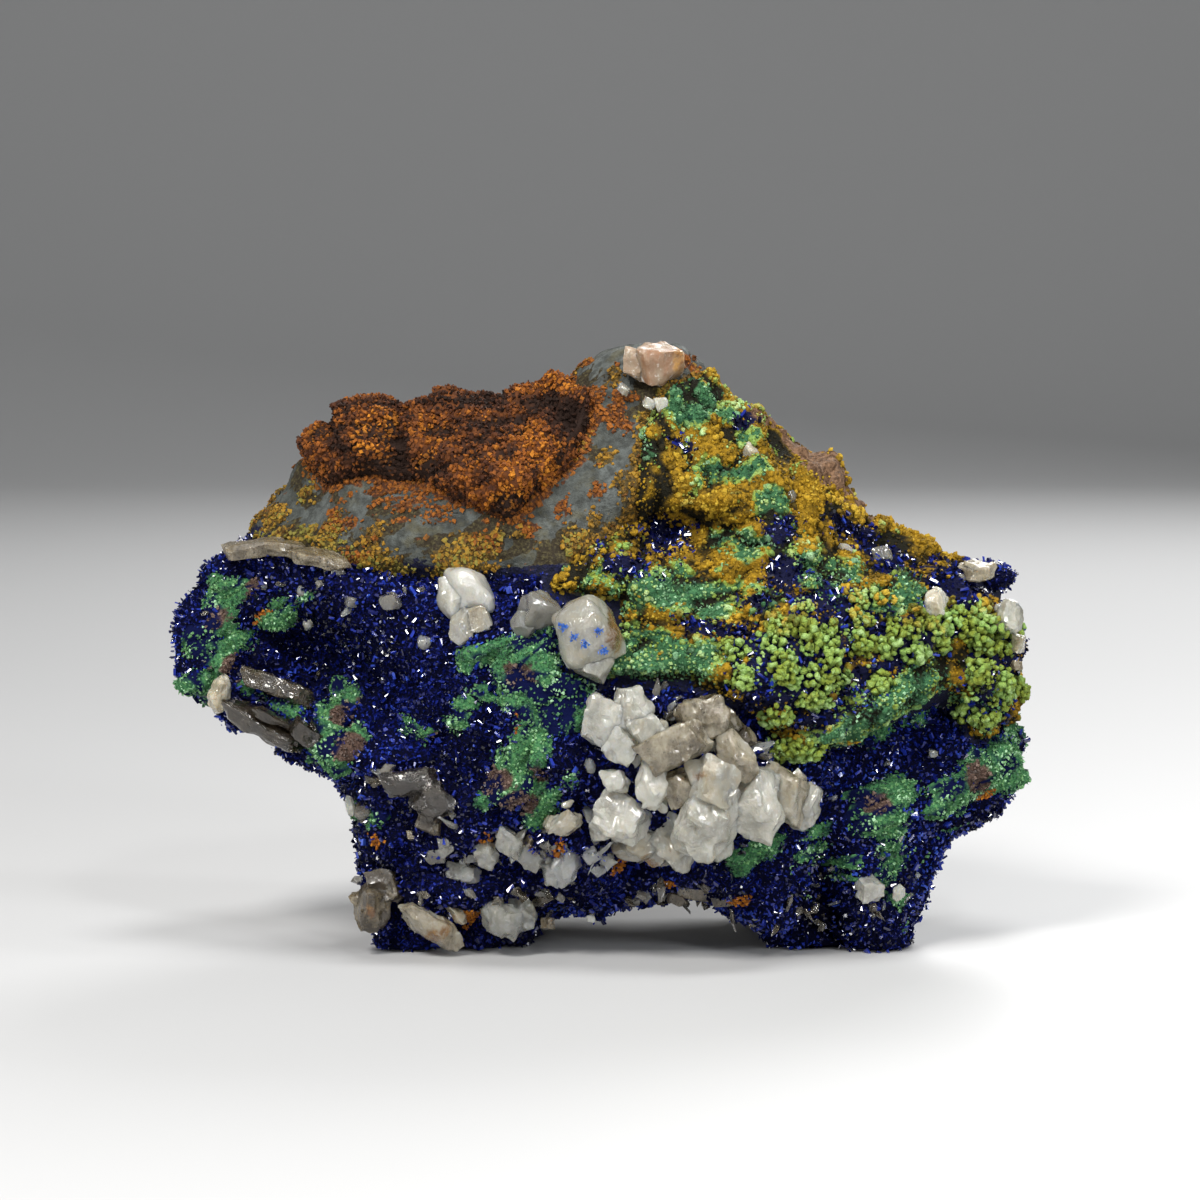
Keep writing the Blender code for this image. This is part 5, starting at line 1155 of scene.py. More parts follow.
def nodule_finish(looks):
    """Ochre and malachite: ochre to lime to green by kind, with painted shade in the creases, yellow rims and
    greener tops on the lime whose paler tops are a painted highlight, blue-black where azurite shows and as
    painted shade under the rosettes, and bare brown stone along the edge."""
    made, tree, shader = new_finish("ochre_and_malachite", 0.75, Specular_IOR_Level=0.18)
    fine, tiny = noise(tree, 0.5, 3.0), noise(tree, 0.20, 2.0)
    crown = value_of(tree, "crown")
    kind = unevenly(tree, value_of(tree, "kind"), noise(tree, 1.0, 3.0), 0.4)
    tone = unevenly(tree, value_of(tree, "tone"), fine, 0.8)
    ochre = ramp(tree, tone, ((0.1, looks.ochre_dark), (0.5, looks.ochre), (0.95, looks.ochre_bright)))
    rim = ramp(tree, tone, ((0.2, looks.lime_rim), (0.8, looks.lime)))
    top = ramp(tree, tone, ((0.2, looks.lime), (0.9, looks.lime_top_and_highlight)))
    # painted highlight: the lobes' tops, where the crown is high, turn to the paler, greener top colour
    lime = mixed(tree, between(tree, unevenly(tree, crown, tiny, 0.3), 0.55, 0.95), rim, top)
    green = ramp(tree, tone, ((0.05, looks.green_deep), (0.5, looks.green), (0.95, looks.mint)))
    colour = mixed(tree, between(tree, kind, 0.2, 0.45), ochre, lime)
    colour = mixed(tree, between(tree, kind, 0.65, 0.85), colour, green)
    stone = mixed(tree, between(tree, fine, 0.35, 0.65), looks.bare, looks.bare_pale)
    colour = mixed(tree, patch(tree, "bare", fine, 0.8, 0.4, 0.6), colour, stone)
    # painted shade: where the crown is low, down in the creases, the colour turns to the crease shade
    shade = mixed(tree, between(tree, crown, 0.12, 0.55), looks.crease_shade, colour)
    azure = patch(tree, "blue", fine, 0.8, 0.35, 0.6)
    # azurite in the pockets, and painted shade on the bed between the rosettes
    tree.links.new(mixed(tree, azure, shade, POCKET_BLUE_AND_SHADE), shader.inputs["Base Color"])
    bumped(tree, shader, maths(tree, "ADD", noise(tree, 0.45, 4.0), tiny), 0.36, 1.0)
    return made


def malachite_finish(looks, name, roughness, shine):
    """Fine malachite: deep green to mint by each grain's tone, brown where the heart is bare, and blue-black
    by
    the gap: azurite where the bed shows through, painted shade at the grains' feet and in their creases.
    """
    made, tree, shader = new_finish(name, roughness, Specular_IOR_Level=0.5 * shine)
    grain = noise(tree, 0.25, 3.0)
    tone = unevenly(tree, unevenly(tree, value_of(tree, "tone"), noise(tree, 0.6, 3.0), 0.8), grain, 1.2)
    greens = ((0.05, looks.green_deep), (0.45, looks.green), (0.80, looks.leaf), (1.0, looks.mint))
    green = ramp(tree, tone, greens)
    brown = ramp(tree, tone, HEART_SHADES)
    colour = mixed(tree, between(tree, value_of(tree, "brown"), 0.35, 0.65), green, brown)
    # the gap: real azurite on the bed, painted shade on the grains
    colour = mixed(tree, between(tree, value_of(tree, "gap"), 0.25, 0.80), colour, looks.gap_blue_and_shade)
    tree.links.new(colour, shader.inputs["Base Color"])
    bumped(tree, shader, grain, 0.22, 0.9)
    return made


def azurite_finish(looks, name, roughness, shine, grainy=False):
    """Azurite: glassy, nearly black in the deep crystals and saturated blue in the lighter ones. The bed is
    grainy, as crystals too fine to model cover it."""
    made, tree, shader = new_finish(name, roughness, IOR=1.73, Specular_IOR_Level=0.5 * shine)
    tone = unevenly(tree, value_of(tree, "tone"), noise(tree, 1.4, 3.0), 0.8)
    if grainy:
        grain = noise(tree, 0.28, 2.0)
        tone = unevenly(tree, tone, grain, 2.0)
        bumped(tree, shader, grain, 0.30, 1.0)
    blues = ((0.16, looks.blue_black), (0.46, looks.navy), (0.80, looks.blue), (1.0, looks.bright_blue))
    tree.links.new(ramp(tree, tone, blues), shader.inputs["Base Color"])
    return made


def calcite_finish(looks, name, milk, roughness, stops):
    """Calcite: milky and translucent, its colour by each crystal's tone, with cloudy veils inside, dark pits
    in the stained ones and rust where it has run down."""
    clear = 1.0 - milk
    made, tree, shader = new_finish(
        name, roughness, IOR=1.56, Transmission_Weight=clear, Coat_Weight=0.7 * clear, Coat_Roughness=0.08,
        Coat_IOR=1.6, Subsurface_Weight=0.7, Subsurface_Radius=(1.0, 0.85, 0.65), Subsurface_Scale=0.9 * MM,
    )
    veils, fine = noise(tree, 1.8, 5.0, stretch=(1.0, 1.0, 0.5)), noise(tree, 0.5, 3.0)
    tone = unevenly(tree, unevenly(tree, value_of(tree, "tone"), veils, 1.2), noise(tree, 0.3, 3.0), 0.25)
    colour = ramp(tree, tone, stops)
    clouds = maths(tree, "MULTIPLY", between(tree, fine, 0.55, 0.70), between(tree, tone, 0.2, 0.6, 0.7, 0.0))
    colour = mixed(tree, clouds, colour, looks.milk_white)
    specks = between(tree, noise(tree, 0.35, 2.0), 0.60, 0.68)
    colour = mixed(tree, maths(tree, "MULTIPLY", specks, between(tree, tone, 0.5, 0.8)), colour, looks.pit)
    rusty = patch(tree, "stain", fine, 1.6, 0.35, 1.2)
    rust = mixed(tree, between(tree, veils, 0.4, 0.6), looks.rusty, looks.rusty_pale)
    tree.links.new(mixed(tree, rusty, colour, rust), shader.inputs["Base Color"])
    rough = between(tree, veils, 0.3, 0.7, roughness * 0.6, roughness * 1.5)
    tree.links.new(rough, shader.inputs["Roughness"])
    ripples = noise(tree, 0.9, 8.0, stretch=(1.0, 1.0, 0.6))
    bumped(tree, shader, maths(tree, "ADD", ripples, maths(tree, "MULTIPLY", fine, 0.4)), 0.28, 0.9)
    return made


def calcite_finishes(looks):
    """The finish of each kind of calcite."""
    made = {}
    for kind, (milk, roughness, run) in CALCITE_KINDS.items():
        stops = [(place, getattr(looks, colour)) for place, colour in run]
        made[kind] = calcite_finish(looks, f"{kind}_crystals", milk, roughness, stops)
    return made


# ---- Settings ----
def colour_of(name, what, value):
    """A colour that a user can change."""
    return bpy.props.FloatVectorProperty(
        name=name, description=what, subtype="COLOR", size=3, default=value, min=0, max=1
    )


def number_of(name, what, value, **limits):
    """A number that a user can change, with its unit and limits."""
    return bpy.props.FloatProperty(name=name, description=what, default=value, **limits)


def length_of(name, what, value):
    """A length that a user can change, in metres, from a default in millimetres."""
    return number_of(name, what, value * MM, unit="LENGTH", min=0, precision=5)


def cells_of(what, value, least):
    """A fineness of grid that a user can change."""
    return bpy.props.IntProperty(name="Cells", description=what, default=value, min=least)


class SpecimenRock(bpy.types.PropertyGroup):
    """The limestone and its stains."""

    cells: cells_of("Cells along one side of the fine grid", 132, 40)
    stain_spacing: length_of("Stain Grains", "Spacing of the grains that stain the bare stone", 0.50)
    grey: colour_of("Stone", "Blue-grey limestone", (0.066, 0.073, 0.066))
    pale_grey: colour_of("Pale Stone", "Paler patches of limestone", (0.105, 0.116, 0.110))
    dark_grey: colour_of("Dark Stone", "Darker grain of limestone", (0.022, 0.023, 0.020))
    olive: colour_of("Olive Stone", "Olive patches of limestone", (0.085, 0.072, 0.030))
    # painted shade: the dark colour round the stain clumps
    soil: colour_of("Soil", "Dark soil round the stains", (0.022, 0.016, 0.008))
    weathered: colour_of("Weathered", "Weathered stone behind", (0.15, 0.115, 0.080))
    weathered_pale: colour_of("Weathered Pale", "Paler weathered stone", (0.27, 0.215, 0.155))
    ochre_dark: colour_of("Ochre Shade", "Shade of the ochre stain", (0.050, 0.034, 0.009))
    ochre: colour_of("Ochre", "Ochre stain", (0.30, 0.155, 0.014))
    rust_dark: colour_of("Rust Shade", "Shade of the rust stain", (0.050, 0.017, 0.006))
    rust: colour_of("Rust", "Rust stain", (0.27, 0.085, 0.009))
    lime: colour_of("Lime", "Lime-green stain", (0.17, 0.155, 0.030))


class SpecimenLimonite(bpy.types.PropertyGroup):
    """The crumbly rust-orange crust."""

    thickness: length_of("Thickness", "Mean thickness of the crust", 2.5)
    spacing: length_of("Spacing", "Spacing of the crumbs", 0.46)
    smallest: length_of("Smallest", "Half width of the smallest crumbs", 0.10)
    largest: length_of("Largest", "Half width of the largest crumbs", 0.32)
    # painted shade: the colour down between the crumbs
    deep: colour_of("Deep", "Between the crumbs", (0.014, 0.005, 0.002))
    brown: colour_of("Brown", "Brown crumbs", (0.070, 0.022, 0.008))
    orange: colour_of("Orange", "Orange crumbs", (0.24, 0.072, 0.008))
    yellow: colour_of("Yellow", "Yellow-orange crumbs", (0.46, 0.17, 0.014))


class SpecimenOchre(bpy.types.PropertyGroup):
    """The ochre crust, its lime-green rosettes and its green malachite."""

    thickness: length_of("Thickness", "Mean thickness of the crust", 1.7)
    ball_spacing: length_of("Ball Spacing", "Spacing of the balls", 1.05)
    grain_spacing: length_of("Grain Spacing", "Spacing of the fine grains", 0.57)
    rosette_spacing: length_of("Rosette Spacing", "Spacing of the lime-green rosettes", 2.0)
    rosette_radius: length_of("Rosette Radius", "Radius of the largest rosettes", 1.45)
    # painted shade: the colour down between the balls
    crease_shade: colour_of("Creases", "Down between the balls", (0.010, 0.009, 0.004))
    ochre_dark: colour_of("Ochre Shade", "Darkest ochre", (0.075, 0.050, 0.006))
    ochre: colour_of("Ochre", "Ochre balls", (0.40, 0.228, 0.011))
    ochre_bright: colour_of("Bright Ochre", "Brightest ochre", (0.62, 0.42, 0.045))
    lime_rim: colour_of("Lime Rims", "Yellow rims of the rosettes", (0.25, 0.31, 0.040))
    lime: colour_of("Lime", "Lime-green rosettes", (0.265, 0.44, 0.105))
    # partly a greener colour, partly a painted highlight on the tops of the rosettes
    lime_top_and_highlight: colour_of("Lime Tops", "Greener tops of the rosettes", (0.50, 0.69, 0.33))
    green_deep: colour_of("Deep Green", "Shade of the malachite", (0.008, 0.046, 0.024))
    green: colour_of("Green", "Malachite", (0.062, 0.185, 0.076))
    leaf: colour_of("Leaf Green", "Yellower malachite", (0.135, 0.310, 0.100))
    mint: colour_of("Mint", "Lightest malachite", (0.34, 0.58, 0.34))
    # partly azurite showing through, partly painted shade at the feet of the grains
    gap_blue_and_shade: colour_of("Gaps", "Azurite in the gaps of the malachite", (0.003, 0.005, 0.035))
    bare: colour_of("Bare Stone", "Brown stone along the edge", (0.085, 0.045, 0.024))
    bare_pale: colour_of("Pale Bare Stone", "Pinkish stone along the edge", (0.26, 0.15, 0.085))


class SpecimenAzurite(bpy.types.PropertyGroup):
    """The azurite crust and its crystals."""

    thickness: length_of("Thickness", "Mean thickness of the crust", 1.6)
    blade_spacing: length_of("Blade Spacing", "Spacing of the longer blades", 1.25)
    blade_length: length_of("Blade Length", "Length of the longest blades", 0.70)
    druse_spacing: length_of("Druse Spacing", "Spacing of the small crystals", 0.67)
    druse_length: length_of("Druse Length", "Length of the longest small crystals", 0.44)
    tablet_spacing: length_of("Tablet Spacing", "Spacing of the larger flat crystals", 2.8)
    tablet_size: length_of("Tablet Size", "How much wider the largest flat crystals are than the least", 0.42)
    shine: number_of("Shine", "How strongly the crystals reflect", 0.4, min=0, max=1)
    blue_black: colour_of("Blue-Black", "Deepest crystals", (0.0006, 0.0009, 0.010))
    navy: colour_of("Navy", "Most crystals", (0.0034, 0.0068, 0.090))
    blue: colour_of("Blue", "Lighter crystals", (0.0135, 0.0290, 0.270))
    bright_blue: colour_of("Bright Blue", "Lightest crystals", (0.035, 0.085, 0.46))
    speck_blue: colour_of("Specks", "The small blue rosettes on the calcite", (0.024, 0.11, 0.42))


class SpecimenCalcite(bpy.types.PropertyGroup):
    """The calcite and quartz crystals."""

    cells: cells_of("Cells along each side of a crystal", 10, 3)
    yaw: number_of("Turn", "How far crystals are turned at random", math.radians(26), subtype="ANGLE")
    milk_white: colour_of("Milk White", "Cloudy white", (0.93, 0.93, 0.89))
    white: colour_of("White", "Palest crystals", (0.90, 0.88, 0.78))
    cream: colour_of("Cream", "Cream crystals", (0.66, 0.59, 0.44))
    veil: colour_of("Veils", "Greyer veils in the crystals", (0.62, 0.61, 0.53))
    tan: colour_of("Tan", "Stained crystals", (0.25, 0.205, 0.135))
    brown: colour_of("Brown", "Darkest crystals", (0.075, 0.058, 0.036))
    pit: colour_of("Pits", "Dark pits of the stained crystals", (0.030, 0.022, 0.016))
    glass: colour_of("Glass", "Clearest crystals", (0.80, 0.81, 0.78))
    smoky: colour_of("Smoky", "Smoky crystals", (0.50, 0.47, 0.41))
    peach: colour_of("Peach", "The crystal at the peak", (0.31, 0.165, 0.085))
    peach_pale: colour_of("Pale Peach", "Paler parts of the crystal at the peak", (0.38, 0.30, 0.21))
    rusty: colour_of("Rust Stain", "Rust on the crystals", (0.26, 0.11, 0.030))
    rusty_pale: colour_of("Ochre Stain", "Ochre on the crystals", (0.48, 0.25, 0.06))


class SpecimenStage(bpy.types.PropertyGroup):
    """The floor, lights and camera."""

    floor: colour_of("Floor", "Floor and backdrop", (0.50, 0.50, 0.50))
    distance: length_of("Camera Distance", "From the camera to the show face", 450.0)
    frame_width: length_of("Frame Width", "Width of the view at the show face", 120.0)
    aim_up: length_of("Aim", "Height of the middle of the view", 35.7)
    elevation: number_of("Elevation", "How far the camera looks down", math.radians(5), subtype="ANGLE")
    key: number_of("Key", "Power of the main light", 3.3, min=0, unit="POWER")
    ambient: number_of("Ambient", "Strength of the light from all round", 0.12, min=0)


# ---- Pieces ----
class Grains(NamedTuple):
    """Copies of one small shape as one mesh: the copy that each point belongs to, how high up its copy each
    point lies (0 to 1), where each copy stands and how far out of the creases (0 to 1)."""

    points: np.ndarray
    faces: np.ndarray
    owner: np.ndarray
    rise: np.ndarray
    places: np.ndarray
    crown: np.ndarray


def in_mm(length):
    """A property's length in millimetres."""
    return length / MM


def grains_at(shape, places, frames, sizes, uneven, seed, crown):
    """The shape put at each place along its frame and at its sizes, each corner moved a little at random by
    the uneven share of its size. All the copies come back as one mesh that remembers which copy is which."""
    points, faces = shape
    count = len(places)
    local = points[None] * sizes[:, None, :]
    local = local + np.random.default_rng(seed).uniform(-uneven, uneven, local.shape) * sizes[:, None, :]
    world = (np.einsum("nki,nij->nkj", local, frames) + places[:, None]).reshape(-1, 3)
    world[:, 2] = np.maximum(world[:, 2], LOWEST_GRAIN)
    first = np.arange(count)[:, None, None] * len(points)
    owner = np.repeat(np.arange(count), len(points))
    rise = np.tile((points[:, 2] - points[:, 2].min()) / np.ptp(points[:, 2]), count)
    return Grains(world, (faces[None] + first).reshape(-1, 3), owner, rise, places, crown)


def grown(sheet, share, spacing, shape, widths, heights, seed, lean=0.3, spray=0.0, lift=-0.1, uneven=0.05):
    """Copies of a shape that stand on a sheet where their share allows. Each one's half width and height are
    drawn from the ranges given. It leans at random and with its neighbours in sprays, and stands as much out
    of the sheet as the lift says, in its own heights."""
    spots = scattered(sheet, spacing, seed, share)
    count = len(spots.shares)
    rng = np.random.default_rng(seed + 1)
    places, ways = spots.read(sheet.points), spots.read(sheet.ways)
    sway = np.stack([smooth_noise(places, SPRAY_SIZE, seed + k) for k in (2, 3, 4)], axis=1)
    axis = unit(ways + spray * sway + rng.normal(0, lean, (count, 3)))
    width, height = rng.uniform(*widths, count), rng.uniform(*heights, count)
    size = np.stack([width, width * rng.uniform(0.7, 1.3, count), height], axis=1)
    frames = frames_along(axis, rng.uniform(0, 2 * math.pi, count))
    lifted = places + ways * (lift * height)[:, None]
    return grains_at(shape, lifted, frames, size, uneven, seed + 5, spots.read(sheet.crown))


def joined(groups):
    """Several groups of grains as one."""
    whole = {field: [getattr(group, field) for group in groups] for field in Grains._fields}
    for field, counted in (("faces", "points"), ("owner", "places")):
        firsts = np.cumsum([0] + [len(part) for part in whole[counted]])
        whole[field] = [part + first for part, first in zip(whole[field], firsts)]
    return Grains(**{field: np.concatenate(parts) for field, parts in whole.items()})


def tones_of(grains, middle, patchy, size, each, seed):
    """A tone for each copy: a middle value, with patches of a size and each one's own chance."""
    own = np.random.default_rng(seed).uniform(-each, each, len(grains.places))
    return middle + patchy * rough_noise(grains.places, size, 3, seed) + own


def crowns_of(grains, least):
    """How far out of the creases each point of the grains lies, from least to 1, and less at its foot. The
    finishes paint shade where it is low.
    """
    return (least + (1 - least) * grains.crown)[grains.owner] * (0.4 + 0.6 * grains.rise)


def over_bed(face, points, values):
    """Values for every point of a bed from those on its outer face, and 0 on its inner face."""
    return np.concatenate([values, np.zeros(len(points) - len(face.points))])


def stone_masks(rock):
    """How much each stain, kind of weathering and the painted shade round the stain clumps shows at each
    point of the rock.
    """
    points = rock.points
    rust_area, green_area, azurite_area = (rock.areas[area] for area in ("rust", "green", "azurite"))
    behind = smooth_step(1.0, 6.0, points[:, 1])
    clumps = clumped(points, 2.2, -0.15, 0.25, 307)
    others = clumped(points, 3.4, -0.20, 0.20, 308)
    specks = clumped(points, 1.8, 0.34, 0.54, 309, octaves=2)
    height = points[:, 2] + 1.4 * rough_noise(points, 3.0, 3, 314)
    band = smooth_step(1.0, -1.0, np.abs(height - BAND_UP) - BAND_HALF) * (azurite_area < 0)
    band = band * smooth_step(2.0, -1.0, points[:, 1])
    rust = np.maximum(smooth_step(-1.8, 0.8, rust_area), clumps * share_within(points, RUST_STAINS, 0.9, 302))
    rust = np.maximum(rust, specks * smooth_step(-7.0, -1.0, rust_area))
    ochre = clumps * share_within(points, OCHRE_STAINS, 1.0, 303)
    ochre = np.maximum(np.maximum(smooth_step(-1.6, 0.6, green_area), ochre), 0.9 * others * clumps * band)
    lime = clumps * share_within(points, LIME_STAINS, 0.8, 306)
    near_blue = smooth_step(-1.2, -0.5, azurite_area)
    high_patches = clumped(points, 8.0, 0.1, 0.5, 304) * smooth_step(30, 48, points[:, 2])
    foot = smooth_step(7.0, 4.0, points[:, 2]) * smooth_step(9.0, 3.0, points[:, 1])
    stains = (*RUST_STAINS, *OCHRE_STAINS, *LIME_STAINS)
    # painted shade round the stain clumps and in the band
    soil = np.maximum(share_within(points, stains, 0.8, 312, 0.9) * (1 - behind), 0.9 * band)
    return {
        "soil": soil * clumped(points, 2.6, -0.5, 0.0, 313),
        "rust": np.maximum(rust, 0.60 * behind * high_patches),
        "ochre": np.maximum(ochre * (1 - near_blue), 0.55 * behind * clumped(points, 7.0, 0.2, 0.6, 305)),
        "lime": np.maximum(lime, 0.9 * (1 - others) * clumps * band),
        "blue": np.maximum(near_blue, foot),
        "weathered": np.maximum(0.66 * behind, share_within(points, BARE_EDGES, 0.5, 301)),
    }


@functools.lru_cache
def bed_of(area, cells, thickness, seed, grit, lump, lump_size):
    """The bed of a crust over the rock: its mesh, its outer face, and how far inside each point lies. Fine
    grit and rounded lumps with creases between ride on its thickness."""
    rock = fine_rock(cells)
    swell = 1 + 0.25 * smooth_noise(rock.points, 4.0, seed=51)
    lumpy = lumps(rock.points, lump_size, seed + 3)
    height = FIT_GAP + thickness * swell + grit * rough_noise(rock.points, 1.3, 3, seed)
    height = height + lump * (lumpy - 0.35)
    height = height - SEAT_SINK * (1 - standing_clear(rock.points, -0.4))
    height = height * (RIM_THIN + (1 - RIM_THIN) * smooth_step(0.1, 0.6, -rock.ways[:, 1]))
    # the crown is low in the creases between the lumps: the finishes paint shade there
    crown = smooth_step(0.10, 0.48, lumpy)
    for *shape, deeper in HOLLOWS[area]:
        sunk = mound(rock.points[:, 0], rock.points[:, 2], shape) * (rock.points[:, 1] < RIM_DEPTH)
        height = height - deeper * sunk
        # painted shade: the crown drops in the hollows as well, so they are painted darker
        crown = crown * (1 - 0.9 * sunk)
    return crust_bed(rock, rock.areas[area], np.maximum(height, LEAST_BED), crown)


def bed_in(scene, area):
    """The bed of one of the crusts, from the scene's settings."""
    settings, *form = BEDS[area]
    return bed_of(area, scene.specimen_rock.cells, in_mm(getattr(scene, settings).thickness), *form)


def make_grains(name, grains, finish, slot, smooth=False, **values):
    """Puts grains into the scene as one piece, with a value for each copy or for each point."""
    for title, value in values.items():
        values[title] = value if len(value) == len(grains.points) else value[grains.owner]
    made = make_piece(name, grains.points, grains.faces, finish, smooth, **values)


class BuildRock(bpy.types.Operator):
    """Build the limestone, with its stains and the fine grains on them"""

    bl_idname = "specimen.rock"
    bl_label = "Limestone"

    def execute(self, context):
        looks = context.scene.specimen_rock
        rock = fine_rock(looks.cells)
        masks = stone_masks(rock)
        faces = triangles(rock.quads)
        bare = (rock.areas["rust"] < 0.3) & (rock.areas["green"] < 0.3) & (rock.areas["azurite"] < 0)
        lumpy = lumps(rock.points, 1.7, 318)
        stained = np.maximum.reduce([masks[stain] for stain in STAIN_TONES]) * bare
        nearest = np.maximum.reduce(list(rock.areas.values()))
        rim = smooth_step(0.0, -1.5, nearest) * smooth_step(0.7, 0.2, np.abs(rock.ways[:, 1]))
        points = rock.points + rock.ways * (STAIN_RISE * stained * lumpy + BARE_RIM * rim)[:, None]
        points[:, 2] = np.maximum(points[:, 2], 0)
        made = make_piece("grey_rock", points, faces, rock_finish(looks), smooth=True, **masks)
        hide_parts("host_rock")

        sheet = Sheet(points, facing(points, faces), faces, smooth_step(0.06, 0.42, lumpy))
        colours = (
            (0.05, looks.rust_dark), (0.30, looks.rust), (0.50, looks.ochre_dark), (0.72, looks.ochre),
            (1.0, looks.lime),
        )
        spacing = in_mm(looks.stain_spacing)
        allowed = bare * (points[:, 1] < 4)
        groups, tones = [], []
        for k, (stain, tone) in enumerate(STAIN_TONES.items()):
            share = smooth_step(0.45, 0.85, masks[stain]) * allowed * (0.25 + 0.75 * sheet.crown)
            grains = grown(sheet, share, spacing, ball_grid(1), *GRAIN_SIZES["stain"], 311 + 10 * k, lift=0.2,
                           uneven=0.3)
            groups.append(grains)
            tones.append(tones_of(grains, tone, 0.05, 2.0, 0.14, 315 + 10 * k))
        # painted shade: the darkest rust also darkens the stain grains in their creases
        finish = grain_finish("stain_grains", colours, looks.rust_dark, 0.8)
        grains = joined(groups)
        make_grains("stain_grains", grains, finish, "ochre_crust", tone=np.concatenate(tones),
                    crown=crowns_of(grains, 0.35))
        return {"FINISHED"}


class BuildLimonite(bpy.types.Operator):
    """Build the crumbly limonite crust"""

    bl_idname = "specimen.limonite"
    bl_label = "Limonite"

    def execute(self, context):
        looks = context.scene.specimen_limonite
        points, faces, face, inside = bed_in(context.scene, "rust")
        colours = ((0.0, looks.deep), (0.25, looks.brown), (0.60, looks.orange), (1.0, looks.yellow))
        finish = grain_finish("limonite_crumbs", colours, looks.deep, 0.85)
        # painted shade: the bed between the crumbs is painted darker where its crown is low
        made = make_piece("limonite_bed", points, faces, finish, True, tone=np.full(len(points), 0.35),
                          crown=over_bed(face, points, 0.5 * face.crown))
        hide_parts("limonite_crust")
        share = smooth_step(0.0, 0.7, inside) * (0.08 + 0.92 * face.crown)
        widths = in_mm(looks.smallest), in_mm(looks.largest)
        crumbs = grown(face, share, in_mm(looks.spacing), ball_grid(1), widths, CRUMB_HEIGHTS, 323,
                       lean=0.5, lift=0.35, uneven=0.32)
        tone = tones_of(crumbs, 0.42, 0.30, 2.2, 0.24, 325)
        # painted shade: crumbs in the hollows are made darker
        tone = tone - 0.42 * share_within(crumbs.places, RUST_HOLLOW_SHADE, 0.6, 326)
        tone = tone + 0.20 * share_within(crumbs.places, YELLOW_RUST, 0.8, 327)
        make_grains("limonite_crumbs", crumbs, finish, "limonite", tone=tone, crown=crowns_of(crumbs, 0.25))
        return {"FINISHED"}


def ochre_shares(points):
    """Where the ochre crust shows azurite, green malachite, lime rosettes and bare stone, from 0 to 1."""
    azure = share_within(points, AZURE_POCKETS, 0.7, 332)
    bare = share_within(points, BARE_EDGES, 0.5, 301)
    green = share_within(points, GREENER, 1.1, 333) * (1 - azure)
    lime = share_within(points, LIME, 0.6, 334) * (1 - 0.7 * azure)
    return azure, green, lime, bare


def malachite_cover(points):
    """Where malachite hides the azurite under it, from 0 to 1, in ragged clumps."""
    return clumped(points, 1.7, -0.32, 0.12, 374)


